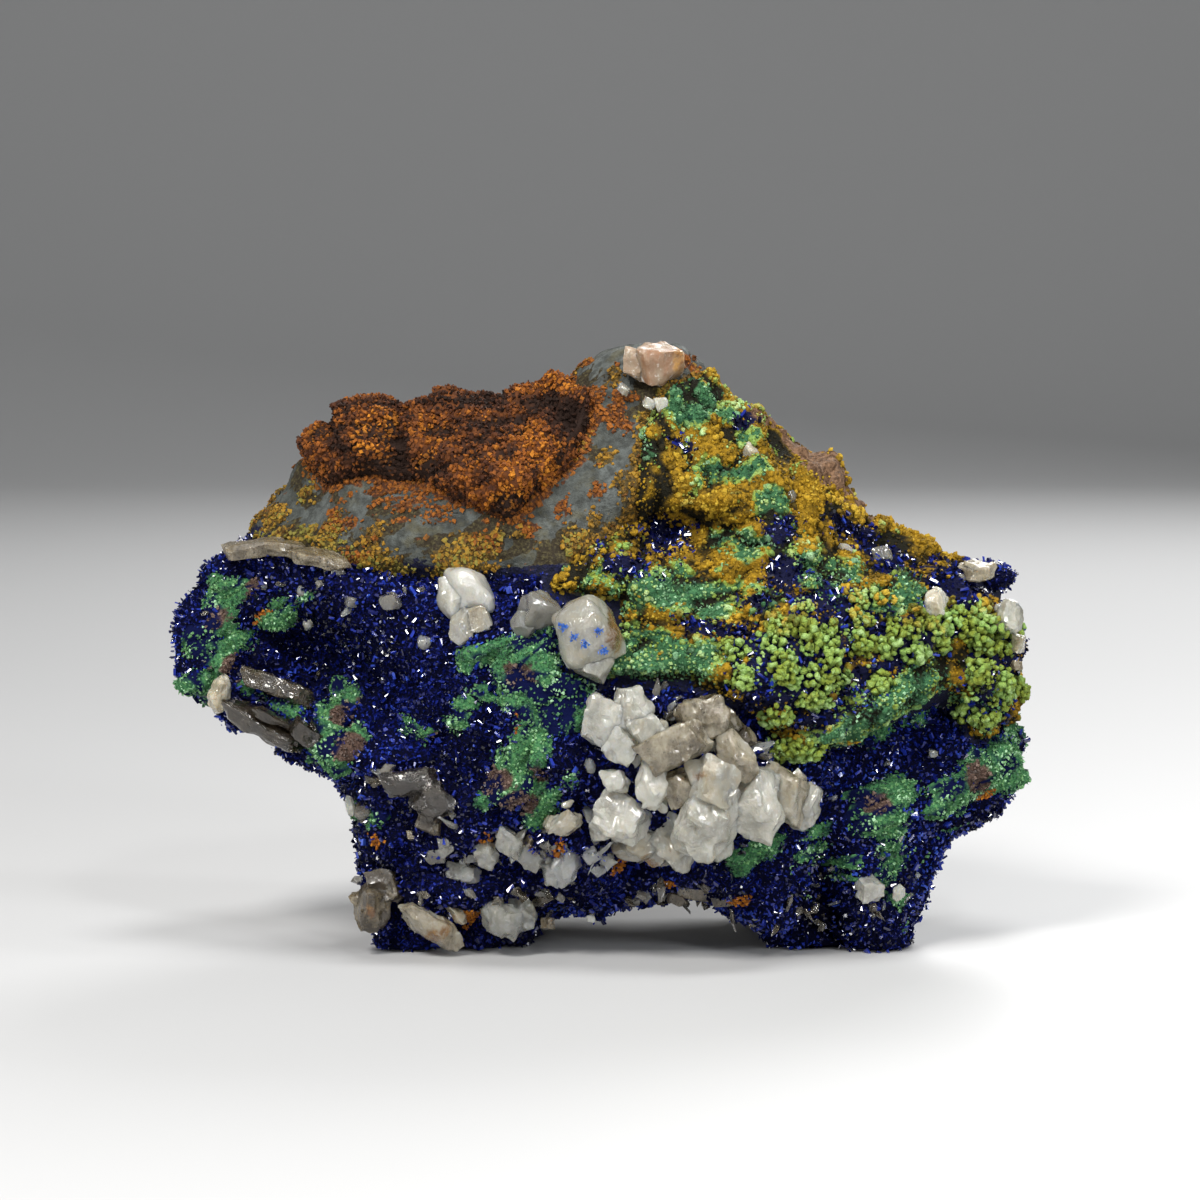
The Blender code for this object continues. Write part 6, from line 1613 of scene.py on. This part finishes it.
class BuildOchre(bpy.types.Operator):
    """Build the ochre crust, with its balls, its fine grains and its lime-green rosettes"""

    bl_idname = "specimen.ochre"
    bl_label = "Ochre and Malachite Crust"

    def execute(self, context):
        looks = context.scene.specimen_ochre
        finish = nodule_finish(looks)
        points, faces, face, inside = bed_in(context.scene, "green")
        azure, green, lime, bare = ochre_shares(points)
        # painted shade: the bed's crown is low in its creases and near its border, so it is painted darker
        # there
        crown = over_bed(face, points, 0.72 * face.crown * smooth_step(0.3, 1.5, inside)) + 0.5 * bare
        # blue: the bed is azurite in the pockets, and is painted dark as shade under the lime rosettes
        made = make_piece("ochre_bed", points, faces, finish, True, tone=np.full(len(points), 0.36),
                          crown=crown, kind=green, blue=np.maximum(azure, 0.8 * lime), bare=bare)
        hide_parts("malachite_crust")

        azure, green, lime, bare = ochre_shares(face.points)
        open_face = smooth_step(-0.3, 0.2, inside) * standing_clear(face.points, 0.5)
        open_face = open_face * (1 - azure) * (1 - bare)
        self.crust(looks, face, open_face * (1 - 0.9 * lime), green, finish)
        self.rosettes(looks, face, open_face * smooth_step(0.3, 0.7, lime), finish)
        return {"FINISHED"}

    def crust(self, looks, face, share, green, finish):
        """Uneven balls on the lumps, few in the green parts, with fine grains between them."""
        sparse = clumped(face.points, 3.0, -0.30, 0.10, 335, octaves=2)
        on_lumps = share * (1 - 0.85 * green) * face.crown * sparse
        balls = grown(face, on_lumps, in_mm(looks.ball_spacing), ball_grid(2), *GRAIN_SIZES["ball"], 337,
                      lift=0.2, uneven=0.30)
        all_over = share * (0.06 + 0.94 * face.crown)
        small = grown(face, all_over, in_mm(looks.grain_spacing), ball_grid(1), *GRAIN_SIZES["ochre"], 347,
                      lift=0.4, uneven=0.3)
        rng = np.random.default_rng(336)
        for name, grains, spread in (("ochre_balls", balls, 0.10), ("ochre_grains", small, 0.15)):
            places = grains.places
            kind = 0.75 * share_within(places, GREENER, 1.8, 333) + 0.38 * rough_noise(places, 2.2, 3, 339)
            kind = kind + 0.35 * share_within(places, LIME, 1.6, 334)
            kind = kind + 0.28 * smooth_step(46.0, 54.0, places[:, 2])
            kind = kind + rng.uniform(-spread, spread, len(places))
            tone = tones_of(grains, 0.46, 0.34, 3.0, 0.22, 338)
            # painted shade: the grains' crowns darken them in the creases and at their feet
            make_grains(name, grains, finish, "ochre_crust", smooth=True, crown=crowns_of(grains, 0.2),
                        kind=kind, tone=tone)

    def rosettes(self, looks, face, share, finish):
        """Rosettes of round lobes: each lobe leans its own way out of the rosette's middle, in a dome."""
        share = share * clumped(face.points, 3.2, -0.30, 0.05, 344, octaves=2)
        spots = scattered(face, in_mm(looks.rosette_spacing), 341, share)
        count = len(spots.shares)
        rng = np.random.default_rng(342)
        places, ways = spots.read(face.points), spots.read(face.ways)
        middle_way = unit(ways + rng.normal(0, 0.25, (count, 3)))
        frames = frames_along(middle_way, rng.uniform(0, 2 * math.pi, count))
        dome = even_directions(2 * ROSETTE_LOBES, 343)
        dome = dome[dome[:, 2] > -0.15]
        lobes = len(dome)
        radius = in_mm(looks.rosette_radius) * rng.uniform(0.55, 1.0, count)
        way = unit(dome[None] + rng.normal(0, 0.2, (count, lobes, 3)))
        reach = radius[:, None] * rng.uniform(0.55, 0.95, (count, lobes))
        out = np.einsum("nki,nij->nkj", way * reach[..., None] * [1.0, 1.0, 0.8], frames)
        middle = places[:, None] + ways[:, None] * (0.35 * radius)[:, None, None] + out
        size = (radius[:, None] * rng.uniform(0.20, 0.40, (count, lobes))).reshape(-1, 1) * [1.0, 0.75, 0.8]
        lobe_frames = frames_along(unit(out.reshape(-1, 3)), rng.uniform(0, 2 * math.pi, count * lobes))
        every = np.ones(count * lobes)
        grains = grains_at(ball_grid(2), middle.reshape(-1, 3), lobe_frames, size, 0.34, 345, every)
        home = np.repeat(np.arange(count), lobes)[grains.owner]
        above = ((grains.points - places[home]) * middle_way[home]).sum(axis=1) / (1.7 * radius[home])
        tone = np.repeat(rng.uniform(0.1, 0.9, count), lobes) + rng.uniform(-0.2, 0.2, count * lobes)
        kind = np.repeat(0.53 + rng.uniform(-0.12, 0.10, count), lobes)
        kind = kind - 0.20 * smooth_step(32.0, 36.0, grains.places[:, 2])
        # the crown rises towards each rosette's top: painted shade on its lower lobes, a painted highlight on
        # its top
        make_grains("lime_rosettes", grains, finish, "ochre_crust", smooth=True, tone=tone, kind=kind,
                    crown=np.clip(0.1 + 0.55 * above + 0.35 * grains.rise, 0, 1))


def in_cleft(points):
    """How deep in the cleft between the feet each point lies, from 0 to 1."""
    return mound(points[:, 0], points[:, 2], CLEFT)


class BuildAzurite(bpy.types.Operator):
    """Build the azurite crust, its sprays of blades and its druse of small crystals"""

    bl_idname = "specimen.azurite"
    bl_label = "Azurite"

    def execute(self, context):
        looks = context.scene.specimen_azurite
        points, faces, face, inside = bed_in(context.scene, "azurite")
        finish = azurite_finish(looks, "azurite_bed", 0.75, 0.06, grainy=True)
        # painted shade: the bed is made nearly black down in the cleft
        tone = 0.10 - 0.8 * in_cleft(points)
        made = make_piece("azurite_bed", points, faces, finish, True, tone=tone)
        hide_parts("azurite_crust")

        glassy = azurite_finish(looks, "azurite_crystals", 0.09, 1.3 * looks.shine)
        satin = azurite_finish(looks, "azurite_sheen", 0.20, 1.7 * looks.shine)
        pocket_face, pocket = self.pockets(context.scene)
        sheets = (face, self.open_share(face, inside)), (pocket_face, pocket)
        blades = lofted(BLADE_RINGS, 4), in_mm(looks.blade_spacing), BLADE_WIDTHS, in_mm(looks.blade_length)
        druse = lofted(DRUSE_RINGS, 3), in_mm(looks.druse_spacing), DRUSE_WIDTHS, in_mm(looks.druse_length)
        for name, (shape, spacing, widths, longest), crystal, seed in (
            ("azurite_blades", blades, glassy, 411), ("azurite_druse", druse, satin, 421)
        ):
            heights = (0.35 * longest, longest)
            groups = [
                grown(sheet, share, spacing, shape, widths, heights, seed, lean=0.8, spray=0.9)
                for sheet, share in sheets
            ]
            crystals = joined(groups)
            tone = tones_of(crystals, 0.46, 0.42, 4.0, 0.26, seed + 6)
            # painted shade in the cavity and the undercut, partly darker crystals lower down
            tone = tone - 0.26 * share_within(crystals.places, SHADED_AND_DARK_AZURITE, 1.6, 412, 1.5)
            # painted shade: crystals down in the ochre crust's pockets are made darker
            tone[len(groups[0].places):] -= POCKET_SHADE
            make_grains(name, crystals, crystal, "azurite", tone=tone)
        self.tablets(looks, sheets)
        return {"FINISHED"}

    def open_share(self, face, inside):
        """Where crystals stand on the crust: few under the malachite, none in the cleft or at the floor."""
        points = face.points
        green = share_within(points, MALACHITE, 1.5, 371, size=2.4) * malachite_cover(points)
        share = smooth_step(-0.3, 0.2, inside) * (1 - 0.92 * green) * standing_clear(points, 0.8)
        share = share * (1 - 0.95 * smooth_step(0.3, 0.7, in_cleft(points)))
        return share * smooth_step(0.3, 0.8, points[:, 2])

    def pockets(self, scene):
        """The ochre crust's face, and where blue crystals show through it."""
        _points, _faces, face, inside = bed_in(scene, "green")
        azure, _green, lime, bare = ochre_shares(face.points)
        return face, np.maximum(azure, 0.35 * lime) * (1 - bare) * smooth_step(0, 0.4, inside)

    def tablets(self, looks, sheets):
        """Larger flat crystals, their broad faces so laid that each sends one of the lights to the camera."""
        finish = azurite_finish(looks, "azurite_tablets", 0.10, 1.0)
        shape = lofted(TABLET_RINGS, 4)
        groups = []
        for which, (_name, place, *_rest) in enumerate(LIGHTS[:FACE_LIGHTS]):
            way = unit(unit(np.array(place) - MIDDLE) + VIEW_WAY)
            for sheet, share in sheets:
                seen = share * smooth_step(0.2, 0.5, sheet.ways @ way)
                spots = scattered(sheet, in_mm(looks.tablet_spacing), 431 + which, seen)
                rng = np.random.default_rng(441 + which)
                places, ways = spots.read(sheet.points), spots.read(sheet.ways)
                count = len(places)
                axis = unit(way + rng.normal(0, 0.06, places.shape))
                width = TABLET_LEAST + in_mm(looks.tablet_size) * rng.random(count) ** 2.5
                size = width[:, None] * rng.uniform(0.5, 1.0, (count, 1)) * TABLET_SIZES
                frames = frames_along(axis, rng.uniform(0, 2 * math.pi, count))
                groups.append(grains_at(shape, places + 0.42 * ways, frames, size, 0.12, 1, np.ones(count)))
        tablets = joined(groups)
        tone = tones_of(tablets, 0.5, 0.2, 3.0, 0.3, 451)
        make_grains("azurite_tablets", tablets, finish, "azurite", tone=tone)


class BuildMalachite(bpy.types.Operator):
    """Build the malachite patches on the azurite, and the fine green grains of the ochre crust"""

    bl_idname = "specimen.malachite"
    bl_label = "Malachite Patches"

    def execute(self, context):
        looks = context.scene.specimen_ochre
        _points, _faces, face, inside = bed_in(context.scene, "azurite")
        area = np.minimum(within(face.points, MALACHITE, 1.5, 371, 2.4), inside)
        chosen = face.faces[area[face.faces].max(axis=1) > 0]
        height = 0.9 + 0.8 * rough_noise(face.points, 1.5, 3, 372)
        under = malachite_finish(looks, "malachite_under", 0.85, 0.1)
        finish = malachite_finish(looks, "malachite_grains", 0.38, 0.8)
        rise = height * smooth_step(0.0, 0.8, area) - 0.1
        points = face.points + face.ways * rise[:, None]
        bed_points, bed_faces, _used = closed_sheet(points, face.points - face.ways * 0.5, chosen)
        brown = share_within(bed_points, BROWN_HEARTS, 0.6, 373)
        made = make_piece("malachite_beds", bed_points, bed_faces, under, True, brown=brown,
                          gap=1 - malachite_cover(bed_points), tone=np.full(len(bed_points), 0.38))
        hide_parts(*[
            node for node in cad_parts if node.startswith("malachite_") and node != "malachite_crust"
        ])

        outer = Sheet(points, facing(points, chosen), chosen, np.ones(len(points)))
        _points, _faces, strip, strip_inside = bed_in(context.scene, "green")
        _azure, green, _lime, bare = ochre_shares(strip.points)
        strip_share = green * (1 - bare) * smooth_step(0.1, 0.6, strip_inside)
        strip_share = strip_share * standing_clear(strip.points, 0.3) * (0.1 + 0.9 * strip.crown)
        strip_share = strip_share * (0.10 + 0.90 * clumped(strip.points, 2.0, -0.25, 0.25, 394))
        strip_share = strip_share * smooth_step(58.0, 50.0, strip.points[:, 2])
        share = smooth_step(0.0, 0.4, area) * standing_clear(points, 0.3)
        share = share * (0.1 + 0.9 * malachite_cover(points))
        fine = (ball_grid(1), *GRAIN_SIZES["malachite"])
        needles = (lofted(NEEDLE_RINGS, 3), *GRAIN_SIZES["needle"])
        groups = []
        for sheet, shown, (spacing, apart), seed in (
            (outer, share, MALACHITE_SPACINGS[0], 381), (strip, strip_share, MALACHITE_SPACINGS[1], 391)
        ):
            groups.append(grown(sheet, shown, spacing, *fine, seed, lean=0.5, lift=0.4, uneven=0.35))
            groups.append(grown(sheet, shown, apart, *needles, seed + 4, lean=0.6, spray=1.0))
        grains = joined(groups)
        tone = tones_of(grains, 0.52, 0.55, 1.5, 0.34, 386)
        brown = share_within(grains.places, BROWN_HEARTS, 0.6, 373)
        # painted shade: the grains turn blue-black towards their feet and in the creases
        make_grains("malachite_grains", grains, finish, "malachite", tone=tone, brown=brown,
                    gap=0.60 * (1 - crowns_of(grains, 0.3)))
        return {"FINISHED"}


def grown_crystal(across, up, out, sizes, tilt, habit, seed, cells, turn):
    """One crystal that stands out of the crust at (across, up): width, height and thickness, tilted."""
    width, height, deep = sizes
    points, faces = crystal_form(cells, (width / 2, deep / 2, height / 2), habit, seed)
    swing = turn * (2 * lattice_value([[seed, 3, 1], [seed, 3, 2]], 7) - 1)
    place = [across, seat_depth(across, up, out), up]
    points = turned(points, tilt, swing[0] * 0.6, swing[1]) + place
    points[:, 2] = np.maximum(points[:, 2], 0.0)
    return points, faces


def joined_crystals(crystals):
    """Crystals, each as its points, faces and tone, as one mesh with a tone at each point."""
    first = np.cumsum([0] + [len(points) for points, _faces, _tone in crystals])
    points = np.concatenate([points for points, _faces, _tone in crystals])
    faces = np.concatenate([faces + begin for (_points, faces, _tone), begin in zip(crystals, first)])
    return points, faces, np.concatenate([np.full(len(points), tone) for points, _faces, tone in crystals])


class BuildCalcite(bpy.types.Operator):
    """Build every calcite and quartz crystal, most of them with a smaller one grown into it"""

    bl_idname = "specimen.calcite"
    bl_label = "Calcite and Quartz"

    def execute(self, context):
        looks = context.scene.specimen_calcite
        finishes = calcite_finishes(looks)
        for name, crystals in CRYSTALS.items():
            kind, tone = CRYSTAL_LOOKS[name]
            tones = TONES.get(name, [tone] * len(crystals))
            self.group(name, crystals, tones, looks, finishes[kind], kind)
        return {"FINISHED"}

    def group(self, name, crystals, tones, looks, finish, kind):
        """The crystals that grew together, as one piece."""
        made_crystals = []
        turn = math.degrees(looks.yaw)
        growth = CRYSTAL_GROWTH * (CLUSTER_GROWTH if name == "calcite_cluster" else 1)
        for k, ((across, up, out, width, height, deep, tilt, habit), tone) in enumerate(zip(crystals, tones)):
            seed = 500 + 31 * k + len(name)
            cells = looks.cells + (LARGE_EXTRA_CELLS if width * height > LARGE_CRYSTAL else 0)
            sizes = np.array([width, height, deep]) * growth
            crystal = grown_crystal(across, up, out, sizes, tilt, habit, seed, cells, turn)
            made_crystals.append((*crystal, tone))
            if habit == "lump" or name in SMOOTH_GROUPS:
                continue
            rng = np.random.default_rng(seed)
            share = rng.uniform(*SATELLITE_SIZES)
            bearing = rng.uniform(0, 2 * math.pi)
            x = across + SATELLITE_REACH * width * math.cos(bearing)
            z = up + SATELLITE_REACH * height * math.sin(bearing)
            small = sizes * share * rng.uniform(0.8, 1.2, 3)
            lean = tilt + rng.uniform(-SATELLITE_LEAN, SATELLITE_LEAN)
            crystal = grown_crystal(x, z, out * 0.6, small, lean, habit, seed + 7, SMALL_CELLS, turn)
            made_crystals.append((*crystal, tone + rng.uniform(-SATELLITE_TONE, SATELLITE_TONE)))
        points, faces, tone = joined_crystals(made_crystals)
        points = weathered(points, faces, *(WEATHER_SMOOTH if name in SMOOTH_GROUPS else WEATHER_ROUGH))
        points[:, 2] = np.maximum(points[:, 2], 0.0)
        stain = share_within(points - [0, 20, 0], CALCITE_STAINS, 0.4, 501)
        made = make_piece(
            f"{name}_crystals", points, faces, finish, True, CRYSTAL_EDGE, tone=tone, stain=stain
        )
        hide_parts(name)


class BuildChips(bpy.types.Operator):
    """Build the small broken crystals, the rust specks and the blue specks scattered over the face"""

    bl_idname = "specimen.chips"
    bl_label = "Chips and Specks"

    def execute(self, context):
        scene = context.scene
        finishes = {kind: bpy.data.materials[f"{kind}_crystals"] for kind in ("milky", "glassy", "stained")}
        _points, _faces, face, inside = bed_in(scene, "azurite")
        self.single_chips(finishes)
        self.fields(face, inside, finishes["glassy"])
        self.rust_specks(scene)
        self.blue_specks(scene)
        return {"FINISHED"}

    def single_chips(self, finishes):
        """The chips with a place of their own, one piece for each finish."""
        for kind, finish in finishes.items():
            chips = []
            for k, (across, up, width, height, tilt, tone, habit, chip_kind) in enumerate(SINGLE_CHIPS):
                if chip_kind == kind:
                    sizes = (width, height, 0.8 * min(width, height) + 0.3)
                    chip = grown_crystal(across, up, 0.1, sizes, tilt, habit, 700 + k, CHIP_CELLS, CHIP_TURN)
                    chips.append((*chip, tone))
            points, faces, tone = joined_crystals(chips)
            made = make_piece(f"{kind}_chips", points, faces, finish, True, CRYSTAL_EDGE, tone=tone)

    def fields(self, face, inside, finish):
        """Fields of chips scattered over the azurite."""
        groups, tones = [], []
        for k, (shape, spacing, smallest, largest, tone) in enumerate(CHIP_FIELDS):
            share = share_within(face.points, (shape,), 0.8, 602 + k, 0.8) * smooth_step(0, 0.5, inside)
            share = share * standing_clear(face.points, -0.2)
            share = share * clumped(face.points, 4.0, -0.1, 0.5, 690 + k, octaves=2)
            for which, rings in enumerate((CHIP_RINGS, SHARD_RINGS)):
                widths, heights = (smallest, largest), (smallest, 1.4 * largest)
                chips = grown(face, share, spacing * 1.25, lofted(rings, CHIP_SIDES), widths, heights,
                              610 + k + 40 * which, lean=0.9, lift=0.4, uneven=0.38)
                groups.append(chips)
                tones.append(tones_of(chips, tone, 0.2, 3.0, 0.35, 660 + k))
        make_grains("scattered_chips", joined(groups), finish, "calcite", tone=np.concatenate(tones))

    def rust_specks(self, scene):
        """Small clots of rust here and there."""
        _points, _faces, face, inside = bed_in(scene, "azurite")
        share = np.zeros(len(face.points))
        for across, up, radius in RUST_SPECKS:
            deep = inside_ellipse(face.points[:, 0], face.points[:, 2], (across, up, radius, radius, 0))
            share = np.maximum(share, smooth_step(0.0, 0.2, deep))
        share = share * (inside > 0) * (face.points[:, 1] < RIM_DEPTH)
        specks = grown(face, share, 0.26, ball_grid(1), *GRAIN_SIZES["rust_speck"], 631, lift=0.9,
                       uneven=0.25)
        tone = tones_of(specks, 0.75, 0.1, 1.0, 0.25, 632)
        make_grains("rust_specks", specks, bpy.data.materials["limonite_crumbs"], "limonite", tone=tone,
                    crown=np.ones(len(specks.places)))

    def blue_specks(self, scene):
        """Small blue rosettes on the front of the round calcite."""
        across, up, out, width, height, deep, *_rest = CRYSTALS["calcite_round"][0]
        rng = np.random.default_rng(641)
        centres = np.repeat(np.array(BLUE_SPECKS), SPECK_CRYSTALS, axis=0)
        spread = centres + rng.normal(0, SPECK_SPREAD, centres.shape)
        local = np.stack([(spread[:, 0] - across) / (width / 2), (spread[:, 1] - up) / (height / 2)], axis=1)
        local = local / CRYSTAL_GROWTH
        bulge = np.sqrt(np.clip(1 - (local**2).sum(axis=1), 0.05, 1))
        depth = seat_depth(across, up, out) - deep / 2 * CRYSTAL_GROWTH * bulge
        places = np.stack([spread[:, 0], depth, spread[:, 1]], axis=1)
        ways = unit(np.stack([local[:, 0], -bulge, local[:, 1]], axis=1) + rng.normal(0, 0.4, places.shape))
        count = len(places)
        frames = frames_along(ways, rng.uniform(0, 6.3, count))
        widths, lengths = rng.uniform(0.06, 0.14, count), rng.uniform(0.2, 0.45, count)
        size = np.stack([widths, widths, lengths], axis=1)
        specks = grains_at(lofted(DRUSE_RINGS, 4), places, frames, size, 0.05, 642, np.ones(count))
        finish, _tree, shader = new_finish("blue_rosettes", 0.4)
        shader.inputs["Base Color"].default_value = (*scene.specimen_azurite.speck_blue, 1)
        make_grains("blue_specks", specks, finish, "azurite")


def floor_surface(half_width, front, back, bend, top):
    """A floor that bends up into a backdrop: a line, a quarter circle and a line, carried across."""
    turn = np.linspace(0, math.pi / 2, 24)
    y = np.concatenate([[front], back + bend * np.sin(turn), [back + bend]])
    z = np.concatenate([[0.0], bend * (1 - np.cos(turn)), [top]])
    x = np.array([-half_width, half_width])
    points = np.stack([np.repeat(x, len(y)), np.tile(y, 2), np.tile(z, 2)], axis=1)
    return points, grid_quads(np.arange(2 * len(y)).reshape(2, -1))


class BuildStage(bpy.types.Operator):
    """Build the floor and backdrop, the lights and the camera"""

    bl_idname = "specimen.stage"
    bl_label = "Stage"

    def execute(self, context):
        looks = context.scene.specimen_stage
        points, quads = floor_surface(**FLOOR)
        mesh = bpy.data.meshes.new("floor")
        mesh.from_pydata(points.tolist(), [], quads.tolist())
        mesh.polygons.foreach_set("use_smooth", np.full(len(quads), True))
        made, _tree, shader = new_finish("pale_floor", 0.55)
        shader.inputs["Base Color"].default_value = (*looks.floor, 1)
        mesh.materials.append(made)
        floor = bpy.data.objects.new("floor", mesh)
        context.scene.collection.objects.link(floor)
        for name, place, width, height, power, colour in LIGHTS:
            self.light(context, name, place, width, height, power * looks.key, colour)
        world = bpy.data.worlds.new("soft_studio")
        world.use_nodes = True
        background = world.node_tree.nodes["Background"]
        background.inputs["Color"].default_value = SKY
        background.inputs["Strength"].default_value = looks.ambient
        context.scene.world = world
        context.scene.view_settings.view_transform = "Standard"
        self.camera(context, looks)
        return {"FINISHED"}

    def light(self, context, name, place, width, height, power, colour):
        """A rectangular soft light that looks at the middle of the specimen."""
        lamp = bpy.data.lights.new(name, "AREA")
        lamp.shape = "RECTANGLE"
        lamp.size, lamp.size_y = width, height
        lamp.energy = power
        lamp.color = colour
        self.placed(context, name, lamp, Vector(place), Vector(place) - Vector(MIDDLE))

    def camera(self, context, looks):
        """The camera in front, a little above, looking at the middle of the view."""
        lens = bpy.data.cameras.new("camera")
        lens.lens = lens.sensor_width * looks.distance / looks.frame_width
        lens.clip_start, lens.clip_end = SIGHT
        slide = slide_to_frame() * MM
        target = Vector((slide[0], slide[1] - FACE_MEAN_DEPTH * MM, looks.aim_up))
        back = Vector((0, -math.cos(looks.elevation), math.sin(looks.elevation)))
        context.scene.camera = self.placed(context, "camera", lens, target + back * looks.distance, back)

    def placed(self, context, name, data, place, back):
        """Puts a light or a camera at a place, with its back to a way."""
        holder = bpy.data.objects.new(name, data)
        holder.location = place
        holder.rotation_mode = "QUATERNION"
        holder.rotation_quaternion = back.to_track_quat("Z", "Y")
        context.scene.collection.objects.link(holder)
        return holder


# ---- The add-on ----
SETTINGS = {
    "specimen_rock": SpecimenRock,
    "specimen_limonite": SpecimenLimonite,
    "specimen_ochre": SpecimenOchre,
    "specimen_azurite": SpecimenAzurite,
    "specimen_calcite": SpecimenCalcite,
    "specimen_stage": SpecimenStage,
}
OPERATORS = (
    BuildRock, BuildLimonite, BuildOchre, BuildAzurite, BuildMalachite, BuildCalcite, BuildChips, BuildStage,
)


class SpecimenPanel(bpy.types.Panel):
    """The specimen's pieces and settings"""

    bl_idname = "VIEW3D_PT_specimen"
    bl_label = "Azurite Specimen"
    bl_space_type = "VIEW_3D"
    bl_region_type = "UI"
    bl_category = "Specimen"

    def draw(self, context):
        for operator in OPERATORS:
            self.layout.operator(operator.bl_idname)
        for title, group in SETTINGS.items():
            box = self.layout.box()
            box.label(text=group.__doc__)
            for name in group.__annotations__:
                box.prop(getattr(context.scene, title), name)


def register():
    """Adds the settings, the operators and the panel."""
    for part in (*SETTINGS.values(), *OPERATORS, SpecimenPanel):
        bpy.utils.register_class(part)
    for title, group in SETTINGS.items():
        setattr(bpy.types.Scene, title, bpy.props.PointerProperty(type=group))


def unregister():
    """Takes them away again."""
    for title in SETTINGS:
        delattr(bpy.types.Scene, title)
    for part in (SpecimenPanel, *reversed(OPERATORS), *reversed(SETTINGS.values())):
        bpy.utils.unregister_class(part)


def main():
    """Builds the specimen and its stage."""
    register()
    for build in (
        bpy.ops.specimen.rock, bpy.ops.specimen.limonite, bpy.ops.specimen.ochre, bpy.ops.specimen.azurite,
        bpy.ops.specimen.malachite, bpy.ops.specimen.calcite, bpy.ops.specimen.chips, bpy.ops.specimen.stage,
    ):
        build()


if __name__ == "__main__":
    main()
